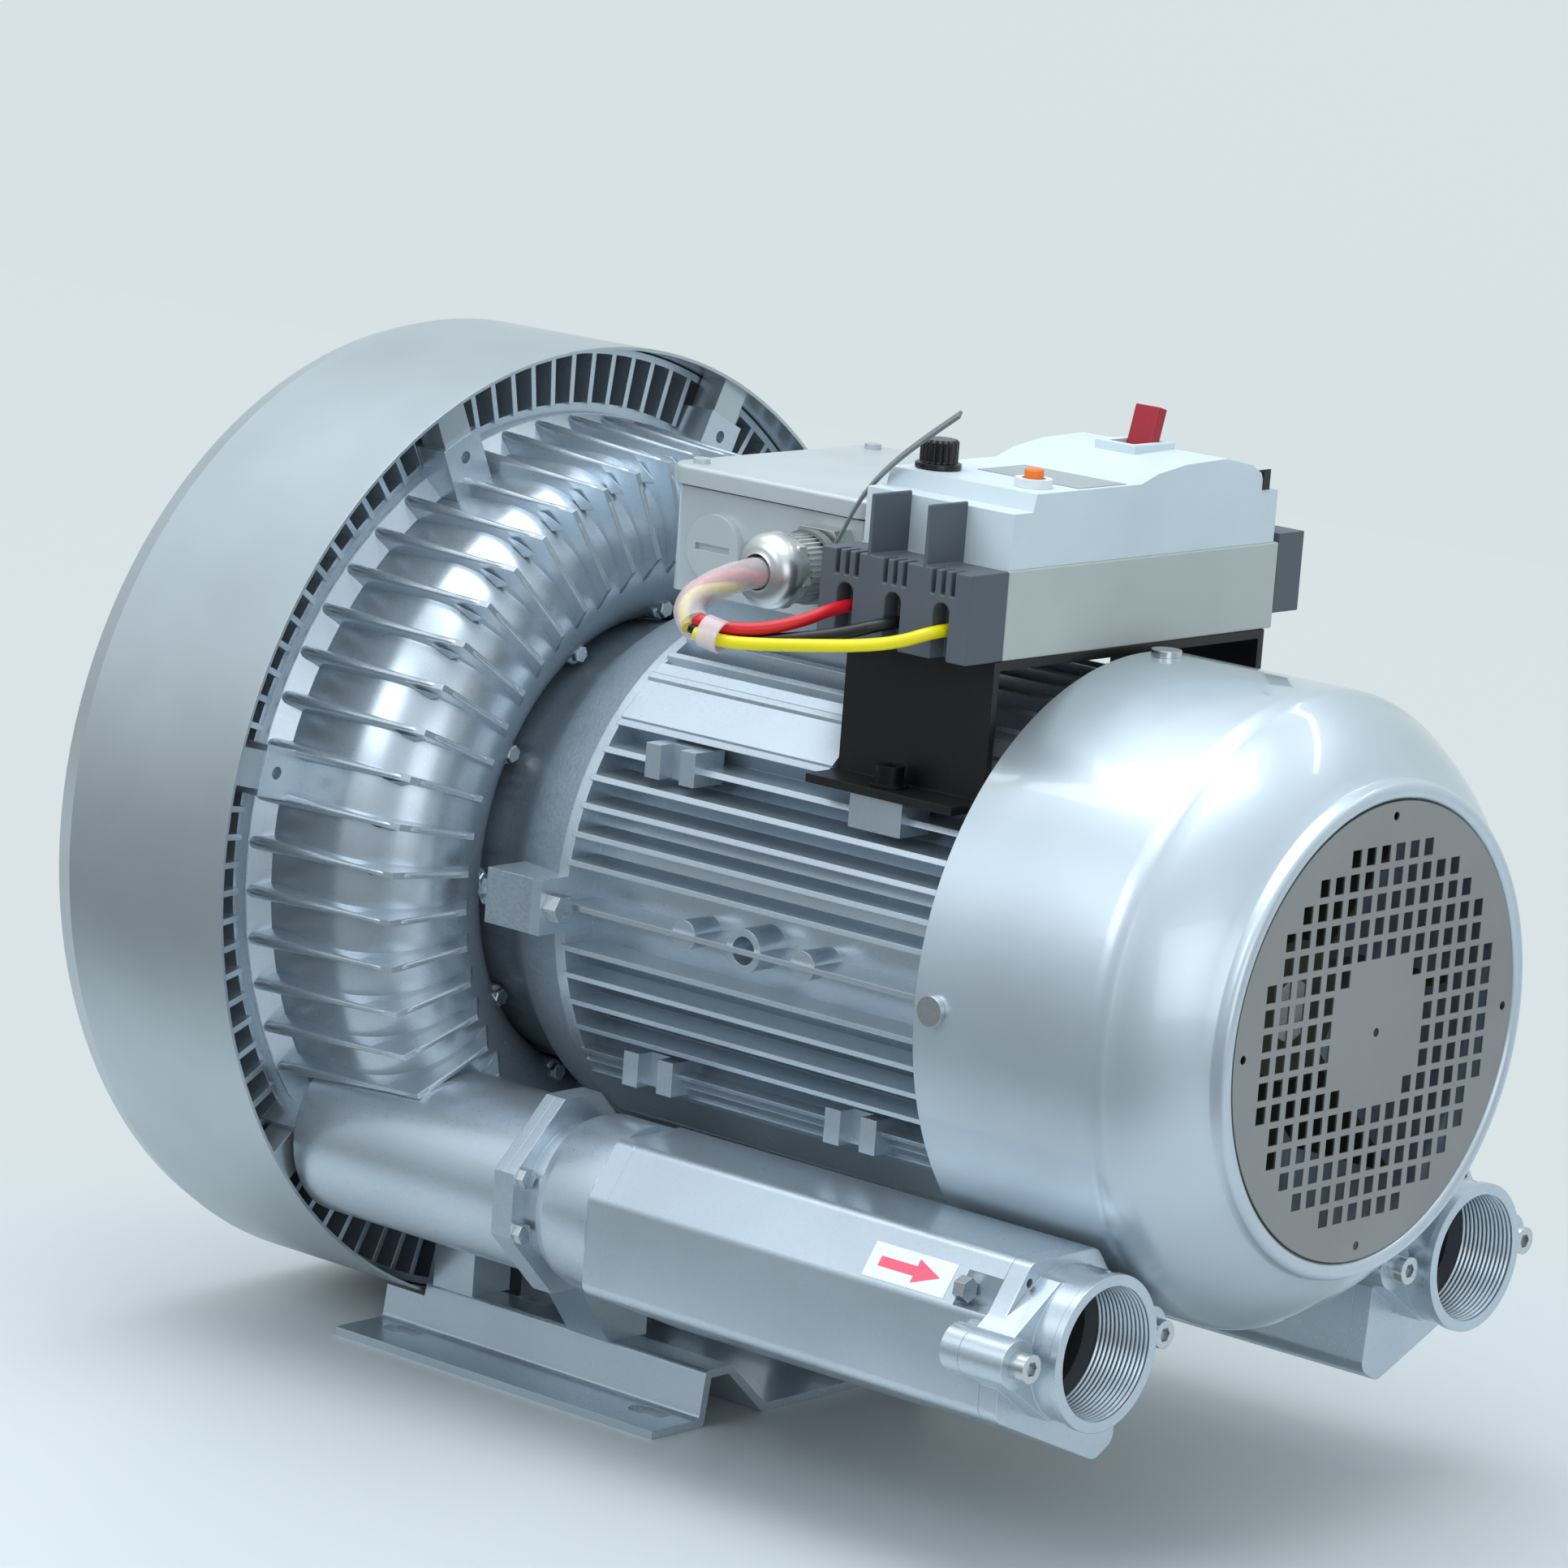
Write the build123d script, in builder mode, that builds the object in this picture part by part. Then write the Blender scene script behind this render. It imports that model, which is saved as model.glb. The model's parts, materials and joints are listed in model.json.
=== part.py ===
"""Side channel blower with a finned motor, two silencers and a motor starter.

The origin is the middle of the foot on the mounting surface, +Z is up and the
shaft runs along X, from the ribbed compressor drum at -X to the fan cowl at +X.
The outlet silencer lies on the -Y side and the inlet silencer mirrors it.
"""

import math
import os

from build123d import *

os.makedirs("parts", exist_ok=True)

# Places along the shaft are measured from the drum's rim plane
axis_height = 241.0
rim_x = -80.0
turned_steps = 3
torus_steps = 6

# Drum cowl, a spun sheet cup round the compressor
drum_radius = 235.0
drum_depth = 122.0
drum_sheet = 1.6
drum_corner = 20.0
grille_slots = 24
grille_slot_width = 8.0
grille_inner = 52.0
grille_outer = 104.0

# Compressor casting, a side channel on each side of the impeller
split_x = -23.0
wheel_x = -20.0
flange_radius = 200.0
flange_land = 3.0
casting_wall = 6.0
channel_radius = 149.0
channel_half_width = 35.0
channel_offset = 44.0
hub_rim = 100.0
web_offset = 32.0
web_thickness = 12.0
disc_room = 7.0
seal_outer = 36.0
seal_width = 10.0
stripper_angle = 36.0

# Fins across the housing and cooling ribs round the cover
fin_count = 39
fin_pitch = 6.7
fin_thickness = 3.0
fin_root_radius = 196.5
fin_peak_x = 66.0
fin_corner_x = 75.0
fin_corner_radius = 151.0
fin_foot_x = 50.0
fin_foot_radius = 124.0
rib_count = 100
rib_thickness = 3.0
rib_outer = 232.6
rib_front = 3.0
rib_ring = 3.5
cover_flange_radius = 204.0
cover_flange = 12.0
lug_count = 7
lug_radius = 207.0
lug_width = 24.0
lug_height = 19.0
lug_depth = 21.0
lug_screw = 3.0

# Impeller
wheel_gap = 1.2
wheel_ring = 5.0
wheel_half_width = 37.0
wheel_disc = 8.0
blade_count = 36
blade_thickness = 3.2
wheel_hub = 38.0
hub_front = 16.0
hub_back = 28.0

# Shaft and bearings
shaft_nose = 12.0
shaft_front = 17.5
shaft_impeller = 20.0
shaft_neck = 24.0
shaft_drive = 25.0
shaft_core = 27.0
shaft_rear = 15.0
shaft_tail = 14.0
front_bearing_x = -101.0
front_bearing_outer = 36.0
front_bearing_width = 17.0
drive_bearing_x = 84.0
drive_bearing_outer = 45.0
drive_bearing_width = 20.0
rear_bearing_x = 336.0
rear_bearing_outer = 31.0
rear_bearing_width = 16.0
running_gap = 0.05
key_width = 12.0
key_height = 3.5
nut_radius = 32.0
nut_thickness = 10.0

# Front fan in the drum
front_fan_x = -117.0
front_fan_width = 10.0
front_fan_radius = 150.0
front_fan_hub = 30.0
front_fan_sheet = 2.5
front_fan_blades = 12

# Motor
bell_x = 24.0
bell_radius = 107.0
bell_ring = 131.0
bell_ring_x = 84.0
bell_lug_width = 26.0
bell_lug_radius = 148.0
stud_radius = 4.0
stud_circle = 140.0
stud_nut = 7.0
stud_angles = (0.0, 180.0, 270.0)
frame_x = 112.0
frame_fins_x = 117.0
frame_end_x = 338.0
frame_core = 112.0
frame_bore = 101.0
frame_fin_tip = 132.5
frame_fin = 2.6
frame_fin_places = (0.0, 20.0, 33.0, 46.0, 58.5, 71.0, 83.0)
panel_radius = 131.0
panel_angle = 47.5
panel_width = 34.0
pedestal_x = 114.0
pedestal_end_x = 226.0
pedestal_y = 52.0
pedestal_top = 141.0
passage = 60.0
boss_places = ((190.0, 7.0), (226.0, 10.0), (261.0, 7.0))
boss_tip = 130.0
seat_places = (163.0, 285.0)
seat_length = 30.0
seat_y = 107.0
seat_width = 20.0
seat_top = 80.0
seat_notch = 12.0
seat_notch_depth = 9.0
stator_bore = 66.0
stator_x = 146.0
stator_length = 150.0
stator_slots = 24
air_gap = 0.6
winding_length = 26.0
shield_x = 338.0
shield_end_x = 354.0
shield_radius = 112.0
spigot = 6.0

# Fan cowl and guard
cowl_x = 338.0
cowl_radius = 144.6
cowl_sheet = 1.5
cowl_shoulder_x = 438.0
cowl_cone_x = 474.0
cowl_cone_radius = 114.0
cowl_bulge = 2.2
cowl_corner = 16.0
cowl_end_x = 482.6
cowl_screw_x = 349.0
guard_radius = 103.0
guard_sheet = 2.0
guard_pitch = 10.7
guard_hole_width = 6.6
guard_hole_height = 7.8
guard_holes_inner = 3.3
guard_holes_outer = 8.1
guard_x = 479.0
guard_rivet_radius = 96.5
guard_rivet = 2.0
cowl_screw = 3.0
cowl_screw_length = 14.0
fan_x = 385.0
fan_length = 50.0
fan_radius = 118.0
fan_blades = 8
fan_blade = 3.0
fan_hub = 32.0

# Ports, ducts and silencers, drawn round the port centre on the -Y side
port_y = -137.0
port_z = -130.0
duct_radius = 41.0
duct_start = 0.0
duct_bore = 30.0
duct_flange_x = 131.0
duct_flange_depth = 6.0
duct_flange_half_width = 43.0
duct_flange_half_height = 46.0
duct_flange_chamfer = 31.0
duct_bolt = 3.0
duct_bolt_y = 37.5
duct_bolt_z = 13.0
neck_radius = 34.0
neck_bulge = 41.0
neck_length = 8.0
neck_x = 137.0
neck_flange_x = 143.0
cap_x = 186.0
cap_end_x = 197.0
silencer_end_x = 417.0
silencer_wall = 3.0
silencer_outline = ((-23, 38), (-40, 14), (-40, -30), (32, -60), (45, -53), (40, 14), (22, 38))
silencer_corner = 7.0
tube_radius = 31.0
tube_wall = 1.5
port_flange_end_x = 427.0
lobe_end_x = 441.0
collar_radius = 33.7
collar_end_x = 453.0
port_thread_radius = 29.8
lobe_offset = 46.0
lobe_radius = 11.0
lobe_screw = 4.0
web_reach = 17.0
web_rise = 31.0
lip_radius = 35.0
lip_depth = 4.0
lobe_root = 10.0
pocket_x = 398.0
pocket_place = (-37.5, 22.0)
pocket_width = 17.0
pocket_height = 14.0
pocket_wall = 1.2
pocket_bolt = 5.6
bolt_y = -34.8
plate_hole_place = (-24.0, 29.0)
plate_hole = 2.0

# Foot
foot_length = 206.0
foot_half_width = 118.0
foot_plate = 4.0
foot_bend = 2.6
ridge_y = 73.0
ridge_height = 27.0
slot_width = 12.0
slot_length = 22.0
slot_spacing_x = 160.0
slot_spacing_y = 190.0
foot_lug_x = (22.0, 112.0)
foot_lug_width = 26.0
foot_bolt = 5.0

# Terminal box
box_x = 109.0
box_length = 118.0
box_front_y = -66.0
box_back_y = 72.0
box_top = 190.0
box_wall = 4.0
gasket = 1.0
lid_overhang = 4.0
lid_height = 9.0
lid_corner = 12.0
box_post = 6.0
box_post_inset = 8.0
lid_screw = 2.0
board_length = 84.0
board_width = 40.0
board_height = 12.0
terminal_radius = 3.0
terminal_pitch = 22.0
gland_x = 206.0
gland_z = 167.5
gland_thread = 10.0
gland_hex = 20.0
gland_hex_depth = 12.0
gland_radius = 17.0
gland_nose_radius = 12.0
gland_nose_y = -118.0
gland_bore_depth = 20.0
gland_opening = 8.2
plug_x = 137.5
plug_z = 164.0
plug_radius = 16.0
plug_thread = 12.0
plug_thickness = 4.0

# Starter bracket
bracket_x = 246.0
bracket_width = 84.0
bracket_sheet = 4.0
bracket_leg_y = 98.0
bracket_foot_y = 120.0
bracket_top = 146.0
bracket_screw_x = 285.0
bracket_screw_y = 109.0
bracket_screw = 4.0

# Motor starter
starter_x = 243.5
starter_width = 86.0
base_front_y = -92.0
base_back_y = 104.0
base_top = 186.0
base_wall = 2.5
output_y = -118.0
input_end_y = 123.0
input_bottom = 153.0
input_top = 190.0
port_x = 258.5
port_pitch = 27.5
port_count = 3
port_width = 9.0
port_arch = 167.0
port_depth = 10.0
groove_pitch = 5.5
groove_width = 2.3
groove_bottom = 175.0
barrier_offset = 16.0
barrier_thickness = 2.0
barrier_top = 213.0
cover_inset = 1.0
cover_wall = 2.5
cover_outline = (
    (-91, 186), (-91, 211), (-78, 211), (-76, 219), (-2, 219), (10, 223), (30, 226),
    (60, 227), (80, 223), (87, 219), (91, 212), (101, 210.5), (101, 186),
)
plateau_top = 219.0
knob_x = 258.5
knob_y = -60.0
knob_radius = 8.6
knob_skirt = 10.4
knob_skirt_height = 3.0
knob_height = 13.0
knob_pin = 3.0
free_gap = 0.3
button_x = 313.0
button_radius = 5.2
button_flange = 7.0
button_travel = 2.5
collar_height = 4.0
collar_outer = 8.5
handle_x = 287.0
handle_y = 45.0
handle_pivot_z = 208.0
handle_hub = 7.0
handle_pin = 2.5
handle_width = 14.0
handle_thickness = 6.0
handle_length = 38.5
handle_lean = 15.0
handle_slot = 10.5
bezel_top = 230.0
bezel_rim = 4.5
cheek = 3.0

# Wires, each route a few points from one held end to the other
wire_diameter = 5.8
sleeve_diameter = 14.0
sleeve_route = (
    (206, -98, 167.5), (206, -121, 167.5), (206.6, -142, 165), (206.5, -159, 159), (211.5, -168, 153.5),
    (221, -171.5, 149), (231, -168, 147), (237, -161, 147),
)
lead_out = 14.0
lead_offsets = ((0, 3.6), (3.0, -1.8), (-3.0, -1.8))
band_start = 3.0
band_length = 8.0
band_outer = 7.4
band_inner = 6.6
red_route = ((254.5, -141, 155), (258.5, -123, 161), (258.5, -108, 161))
black_route = ((258, -143, 148.5), (273, -132, 152.5), (286, -122, 158), (286, -108, 158))
yellow_route = (
    (267, -147, 147), (287, -137, 149.5), (303, -130, 153.5), (313.5, -121.5, 159), (313.5, -108, 159),
)


def station(x):
    """A plane square to the shaft, local x along +Y and local y upwards."""
    return Plane(origin=(rim_x + x, 0, axis_height), x_dir=(0, 1, 0), z_dir=(1, 0, 0))


def meridian(angle):
    """A plane through the shaft, local x along it and local y outwards."""
    turn = math.radians(angle)
    across = (0, -math.sin(turn), math.cos(turn))
    return Plane(origin=(rim_x, 0, axis_height), x_dir=(1, 0, 0), z_dir=across)


def outwards(x, radius, angle):
    """A plane facing away from the shaft, its angle from +Y towards +Z."""
    turn = math.radians(angle)
    facing = Vector(0, math.cos(turn), math.sin(turn))
    return Plane(origin=station(x).origin + facing * radius, x_dir=(1, 0, 0), z_dir=facing)


def level(height):
    """A plane over the foot at a height above the shaft, its local x at the rim."""
    return Plane(origin=(rim_x, 0, axis_height + height), x_dir=(1, 0, 0), z_dir=(0, 0, 1))


def bend(centre_x, centre_r, radius, start, end, steps):
    """Points along a round stretch of a turned profile, its angles from +X."""
    turns = [math.radians(start + (end - start) * step / steps) for step in range(steps + 1)]
    return [(centre_x + radius * math.cos(t), centre_r + radius * math.sin(t)) for t in turns]


def facing(y):
    """A plane facing the near side, local x along the shaft and local y upwards."""
    return Plane(origin=(rim_x, y, axis_height), x_dir=(1, 0, 0), z_dir=(0, -1, 0))


def turn_radii(points):
    """The largest radius at each corner of a route that its two runs leave room for."""
    radii = []
    for before, corner, after in zip(points, points[1:], points[2:]):
        first = corner - before
        second = after - corner
        half_turn = math.radians(first.get_angle(second)) / 2
        radii.append(0.45 * min(first.length, second.length) / math.tan(half_turn))
    return radii


def on_part(place):
    """A place along the shaft from the rim, across and above it, as a point of the part."""
    return Vector(rim_x + place[0], place[1], axis_height + place[2])


section = meridian(90)
shaft_axis = Axis(section.origin, (1, 0, 0))

# Drum cowl, with pads that carry it on the housing's lugs
drum_inner = drum_radius - drum_sheet
lug_outer = lug_radius + lug_height / 2
with BuildPart() as drum_cowl:
    corner_x = drum_corner - drum_depth
    corner_r = drum_radius - drum_corner
    corner_inside = drum_corner - drum_sheet
    with BuildSketch(section):
        Polygon(
            (0, drum_inner),
            (0, drum_radius),
            *bend(corner_x, corner_r, drum_corner, 90, 180, turned_steps),
            (-drum_depth, 0),
            (drum_sheet - drum_depth, 0),
            *bend(corner_x, corner_r, corner_inside, 180, 90, turned_steps),
            align=None,
        )
    revolve(axis=shaft_axis)
    with BuildSketch(station(-drum_depth)):
        with PolarLocations((grille_inner + grille_outer) / 2, grille_slots):
            Rectangle(grille_outer - grille_inner, grille_slot_width)
    extrude(amount=drum_sheet * 2, mode=Mode.SUBTRACT)
    pad_outer = drum_inner + drum_sheet / 2
    with BuildSketch(station(2 - lug_depth)):
        with PolarLocations((lug_outer + pad_outer) / 2, lug_count, start_angle=-90):
            Rectangle(pad_outer - lug_outer, lug_width - 6)
    extrude(amount=lug_depth - 6)
drum_cowl.part.label = "drum_cowl"
export_step(drum_cowl.part, "parts/drum_cowl.step")

# Impeller cover, the front half of the side channel with its cooling ribs
channel_outer = channel_radius + channel_half_width
channel_inner = channel_radius - channel_half_width
torus_radius = channel_half_width + casting_wall
torus_outer = channel_radius + torus_radius
cover_channel_x = wheel_x - channel_offset
cover_web_x = wheel_x - web_offset - web_thickness
with BuildPart() as impeller_cover:
    with BuildSketch(section):
        Polygon(
            (split_x, seal_outer),
            (split_x, cover_flange_radius),
            (cover_channel_x, cover_flange_radius),
            *bend(cover_channel_x, channel_radius, torus_radius, 90, 270, turned_steps),
            (cover_channel_x, hub_rim),
            (cover_web_x, hub_rim),
            (cover_web_x, front_bearing_outer + 10),
            (front_bearing_x, front_bearing_outer + 10),
            (front_bearing_x, seal_outer),
            align=None,
        )
    revolve(axis=shaft_axis)
    with BuildSketch(station(cover_channel_x)):
        RegularPolygon(cover_flange_radius + 1, rib_count, major_radius=False)
        Circle(channel_outer + casting_wall, mode=Mode.SUBTRACT)
    extrude(amount=split_x - cover_channel_x)
    with BuildSketch(station(cover_channel_x)):
        Circle(rib_outer)
        Circle(rib_outer - rib_ring, mode=Mode.SUBTRACT)
        with PolarLocations((cover_flange_radius + rib_outer) / 2, rib_count, start_angle=-90):
            Rectangle(rib_outer - cover_flange_radius - 1, rib_thickness)
    extrude(amount=split_x + rib_front - cover_channel_x)
    with BuildSketch(station(split_x)):
        with PolarLocations((torus_outer + lug_outer) / 2, lug_count, start_angle=-90):
            Rectangle(lug_outer - torus_outer, lug_width)
    extrude(amount=-cover_flange)
    with BuildSketch(station(split_x - cover_flange)):
        with PolarLocations(lug_radius + 8, lug_count, start_angle=-90):
            Rectangle(lug_height + 12, lug_width)
    extrude(amount=cover_channel_x - split_x, mode=Mode.SUBTRACT)
    with BuildSketch(station(split_x)):
        with PolarLocations(lug_radius + 6, lug_count, start_angle=-90):
            Rectangle(lug_height + 6, lug_width + 1)
    extrude(amount=rib_front, mode=Mode.SUBTRACT)
    # The channel, the room for the impeller's disc and hub
    with BuildSketch(section):
        Polygon(
            *bend(cover_channel_x, channel_radius, channel_half_width, 270, 90, turned_steps),
            (split_x, channel_outer),
            (split_x, seal_outer - 1),
            (wheel_x - web_offset, seal_outer - 1),
            (wheel_x - web_offset, hub_rim),
            (wheel_x - disc_room, hub_rim),
            (wheel_x - disc_room, channel_inner),
            align=None,
        )
    revolve(axis=shaft_axis, mode=Mode.SUBTRACT)
    with BuildSketch(station(0)):
        with PolarLocations(lug_radius, lug_count, start_angle=-90):
            Circle(lug_screw)
    extrude(amount=-60, mode=Mode.SUBTRACT)
impeller_cover.part.label = "impeller_cover"
export_step(impeller_cover.part, "parts/impeller_cover.step")

# Fins across the housing, one plate on each plane through the shaft
housing_channel_x = wheel_x + channel_offset
first_fin = 90 - fin_pitch * (fin_count - 1) / 2
fin_planes = [meridian(first_fin + fin_pitch * number) for number in range(fin_count)]
with BuildPart() as fins:
    with BuildSketch(*fin_planes):
        Polygon(
            (split_x + flange_land, torus_outer - 2),
            (split_x + flange_land, fin_root_radius),
            (fin_peak_x, fin_root_radius - 4.5),
            (fin_corner_x, fin_corner_radius),
            (fin_foot_x, fin_foot_radius),
            *bend(housing_channel_x, channel_radius, torus_radius - 3, -40, 90, 4),
            align=None,
        )
    extrude(amount=fin_thickness / 2, both=True)

# Channel housing, the rear half of the side channel with lugs and port ducts
housing_web_x = wheel_x + web_offset
port_places = ((port_y, port_z), (-port_y, port_z))
with BuildPart() as channel_housing:
    with BuildSketch(section):
        Polygon(
            (split_x, hub_rim),
            (split_x, flange_radius),
            (split_x + flange_land, flange_radius),
            (split_x + flange_land + 7, torus_outer),
            *bend(housing_channel_x, channel_radius, torus_radius, 90, -90, torus_steps),
            (housing_channel_x, seal_outer),
            (housing_web_x, seal_outer),
            (housing_web_x, hub_rim),
            align=None,
        )
    revolve(axis=shaft_axis)
    add(fins.part)
    with BuildSketch(station(split_x)):
        with PolarLocations((torus_outer + lug_outer) / 2, lug_count, start_angle=-90):
            Rectangle(lug_outer - torus_outer, lug_width)
    extrude(amount=lug_depth)
    with BuildSketch(station(duct_start)):
        with Locations(*port_places):
            Circle(duct_radius)
    extrude(amount=duct_flange_x - duct_start)
    with BuildSketch(station(duct_flange_x)):
        with Locations(*port_places):
            Rectangle(2 * duct_flange_half_width, 2 * duct_flange_half_height)
        chamfer(vertices(), duct_flange_chamfer)
    extrude(amount=duct_flange_depth)
    # Legs that stand on the foot
    for side in (-1, 1):
        with BuildSketch(station(foot_lug_x[0] - foot_lug_width / 2)):
            with Locations((side * ridge_y, -axis_height + ridge_height)):
                Rectangle(foot_lug_width, 60, align=(Align.CENTER, Align.MIN))
        extrude(amount=foot_lug_width)
        with BuildSketch(station(foot_lug_x[1] - foot_lug_width / 2)):
            Polygon(
                (side * (ridge_y - 12), ridge_height - axis_height),
                (side * (ridge_y + 14), ridge_height - axis_height),
                (side * 125, port_z - 34),
                (side * 104, port_z - 20),
                (side * (ridge_y - 12), ridge_height - axis_height + 16),
                align=None,
            )
        extrude(amount=foot_lug_width)
    # Channel and ducts
    with BuildSketch(section):
        Polygon(
            (split_x, hub_rim),
            (split_x, channel_outer),
            *bend(housing_channel_x, channel_radius, channel_half_width, 90, -90, turned_steps),
            (wheel_x + disc_room, channel_inner),
            (wheel_x + disc_room, hub_rim),
            align=None,
        )
    revolve(axis=shaft_axis, mode=Mode.SUBTRACT)
    with BuildSketch(station(duct_start + 12)):
        with Locations(*port_places):
            Circle(duct_bore)
    extrude(amount=duct_flange_x + duct_flange_depth, mode=Mode.SUBTRACT)
    # The stripper that closes the channel between outlet and inlet
    stripper_x = wheel_x + wheel_half_width + wheel_gap
    with BuildSketch(meridian(-90 - stripper_angle / 2)):
        Polygon(
            (stripper_x, channel_inner - 1),
            (stripper_x, channel_outer + 1),
            *bend(housing_channel_x, channel_radius, channel_half_width + 1, 90, -90, turned_steps),
            align=None,
        )
    revolve(axis=shaft_axis, revolution_arc=stripper_angle)
    with BuildSketch(station(split_x)):
        with PolarLocations(lug_radius, lug_count, start_angle=-90):
            Circle(lug_screw)
    extrude(amount=lug_depth, mode=Mode.SUBTRACT)
    with BuildSketch(station(duct_flange_x)):
        for centre in port_places:
            with Locations(centre):
                with GridLocations(2 * duct_bolt_y, 2 * duct_bolt_z, 2, 2):
                    Circle(duct_bolt)
    extrude(amount=duct_flange_depth, mode=Mode.SUBTRACT)
    with BuildSketch(level(ridge_height - axis_height)):
        for x in foot_lug_x:
            for side in (-1, 1):
                with Locations((x, side * ridge_y)):
                    Circle(foot_bolt)
    extrude(amount=12, mode=Mode.SUBTRACT)
channel_housing.part.label = "channel_housing"
export_step(channel_housing.part, "parts/channel_housing.step")

# Screws through the cover's pads into the lugs
with BuildPart() as housing_screws:
    with BuildSketch(station(split_x - cover_flange)):
        with PolarLocations(lug_radius, lug_count, start_angle=-90):
            Circle(lug_screw)
    extrude(amount=cover_flange + lug_depth - 6)
    with BuildSketch(station(split_x - cover_flange)):
        with PolarLocations(lug_radius, lug_count, start_angle=-90):
            RegularPolygon(2 * lug_screw, 6)
    extrude(amount=-lug_screw * 1.5)
housing_screws.part.label = "housing_screws"
export_step(housing_screws.part, "parts/housing_screws.step")

# Impeller with blades on both faces of its disc
with BuildPart() as impeller:
    with BuildSketch(station(wheel_x - hub_front)):
        Circle(wheel_hub)
    extrude(amount=hub_front + hub_back)
    with BuildSketch(station(wheel_x - wheel_disc / 2)):
        Circle(channel_outer - wheel_gap)
    extrude(amount=wheel_disc)
    blade_inner = channel_inner + wheel_gap + wheel_ring / 2
    blade_outer = channel_outer - wheel_gap
    with BuildSketch(station(wheel_x)):
        Circle(channel_inner + wheel_gap + wheel_ring)
        Circle(channel_inner + wheel_gap, mode=Mode.SUBTRACT)
        with PolarLocations((blade_inner + blade_outer - 1) / 2, blade_count):
            Rectangle(blade_outer - blade_inner - 1, blade_thickness)
    extrude(amount=wheel_half_width, both=True)
    with BuildSketch(station(wheel_x - hub_front)):
        Circle(shaft_impeller)
        with Locations((0, shaft_impeller)):
            Rectangle(key_width, 2 * key_height)
    extrude(amount=hub_front + hub_back, mode=Mode.SUBTRACT)
impeller.part.label = "impeller"
export_step(impeller.part, "parts/impeller.step")

# Stepped shaft
shoulder_x = wheel_x + hub_back
shaft_steps = (
    (front_fan_x + 1, shaft_nose),
    (front_bearing_x - 3, shaft_front),
    (front_bearing_x + front_bearing_width, shaft_impeller),
    (shoulder_x, shaft_neck),
    (drive_bearing_x, shaft_drive),
    (drive_bearing_x + drive_bearing_width, shaft_core),
    (rear_bearing_x, shaft_rear),
    (rear_bearing_x + rear_bearing_width, shaft_tail),
)
shaft_end_x = fan_x + fan_length
with BuildPart() as shaft:
    ends = [step[0] for step in shaft_steps[1:]] + [shaft_end_x]
    for (start, radius), end in zip(shaft_steps, ends):
        with BuildSketch(station(start)):
            Circle(radius)
        extrude(amount=end - start)
    with BuildSketch(station(wheel_x - hub_front)):
        with Locations((0, shaft_impeller)):
            Rectangle(key_width, 2 * key_height)
    extrude(amount=hub_front + hub_back, mode=Mode.SUBTRACT)
shaft.part.label = "shaft"
export_step(shaft.part, "parts/shaft.step")

with BuildPart() as shaft_key:
    with BuildSketch(station(wheel_x - hub_front)):
        with Locations((0, shaft_impeller)):
            Rectangle(key_width, 2 * key_height)
    extrude(amount=hub_front + hub_back)
shaft_key.part.label = "shaft_key"
export_step(shaft_key.part, "parts/shaft_key.step")

with BuildPart() as impeller_nut:
    with BuildSketch(station(wheel_x - hub_front)):
        RegularPolygon(nut_radius, 6)
        Circle(shaft_impeller, mode=Mode.SUBTRACT)
    extrude(amount=-nut_thickness)
impeller_nut.part.label = "impeller_nut"
export_step(impeller_nut.part, "parts/impeller_nut.step")

# Bearings, an inner and an outer ring each
bearings = (
    (front_bearing_x, shaft_front, front_bearing_outer, front_bearing_width),
    (drive_bearing_x, shaft_drive, drive_bearing_outer, drive_bearing_width),
    (rear_bearing_x, shaft_rear, rear_bearing_outer, rear_bearing_width),
)
with BuildPart() as bearing_inner_rings:
    for start, bore, outer, width in bearings:
        with BuildSketch(station(start)):
            Circle((bore + outer) / 2)
            Circle(bore, mode=Mode.SUBTRACT)
        extrude(amount=width)
bearing_inner_rings.part.label = "bearing_inner_rings"
export_step(bearing_inner_rings.part, "parts/bearing_inner_rings.step")

with BuildPart() as bearing_outer_rings:
    for start, bore, outer, width in bearings:
        with BuildSketch(station(start)):
            Circle(outer)
            Circle((bore + outer) / 2 + running_gap, mode=Mode.SUBTRACT)
        extrude(amount=width)
bearing_outer_rings.part.label = "bearing_outer_rings"
export_step(bearing_outer_rings.part, "parts/bearing_outer_rings.step")

with BuildPart() as shaft_seal:
    with BuildSketch(station(housing_web_x)):
        Circle(seal_outer)
        Circle(shaft_neck + running_gap, mode=Mode.SUBTRACT)
    extrude(amount=seal_width)
shaft_seal.part.label = "shaft_seal"
export_step(shaft_seal.part, "parts/shaft_seal.step")

# Front fan, behind the drum's grille
with BuildPart() as front_fan:
    with BuildSketch(station(front_fan_x)):
        Circle(front_fan_hub)
    extrude(amount=front_fan_width)
    with BuildSketch(station(front_fan_x + front_fan_width)):
        Circle(front_fan_radius)
    extrude(amount=-front_fan_sheet)
    with BuildSketch(station(front_fan_x)):
        with PolarLocations((front_fan_hub + front_fan_radius) / 2, front_fan_blades):
            Rectangle(front_fan_radius - front_fan_hub - 2, front_fan_sheet)
    extrude(amount=front_fan_width)
    with BuildSketch(station(front_fan_x)):
        Circle(shaft_nose)
    extrude(amount=front_fan_width, mode=Mode.SUBTRACT)
front_fan.part.label = "front_fan"
export_step(front_fan.part, "parts/front_fan.step")

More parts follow.
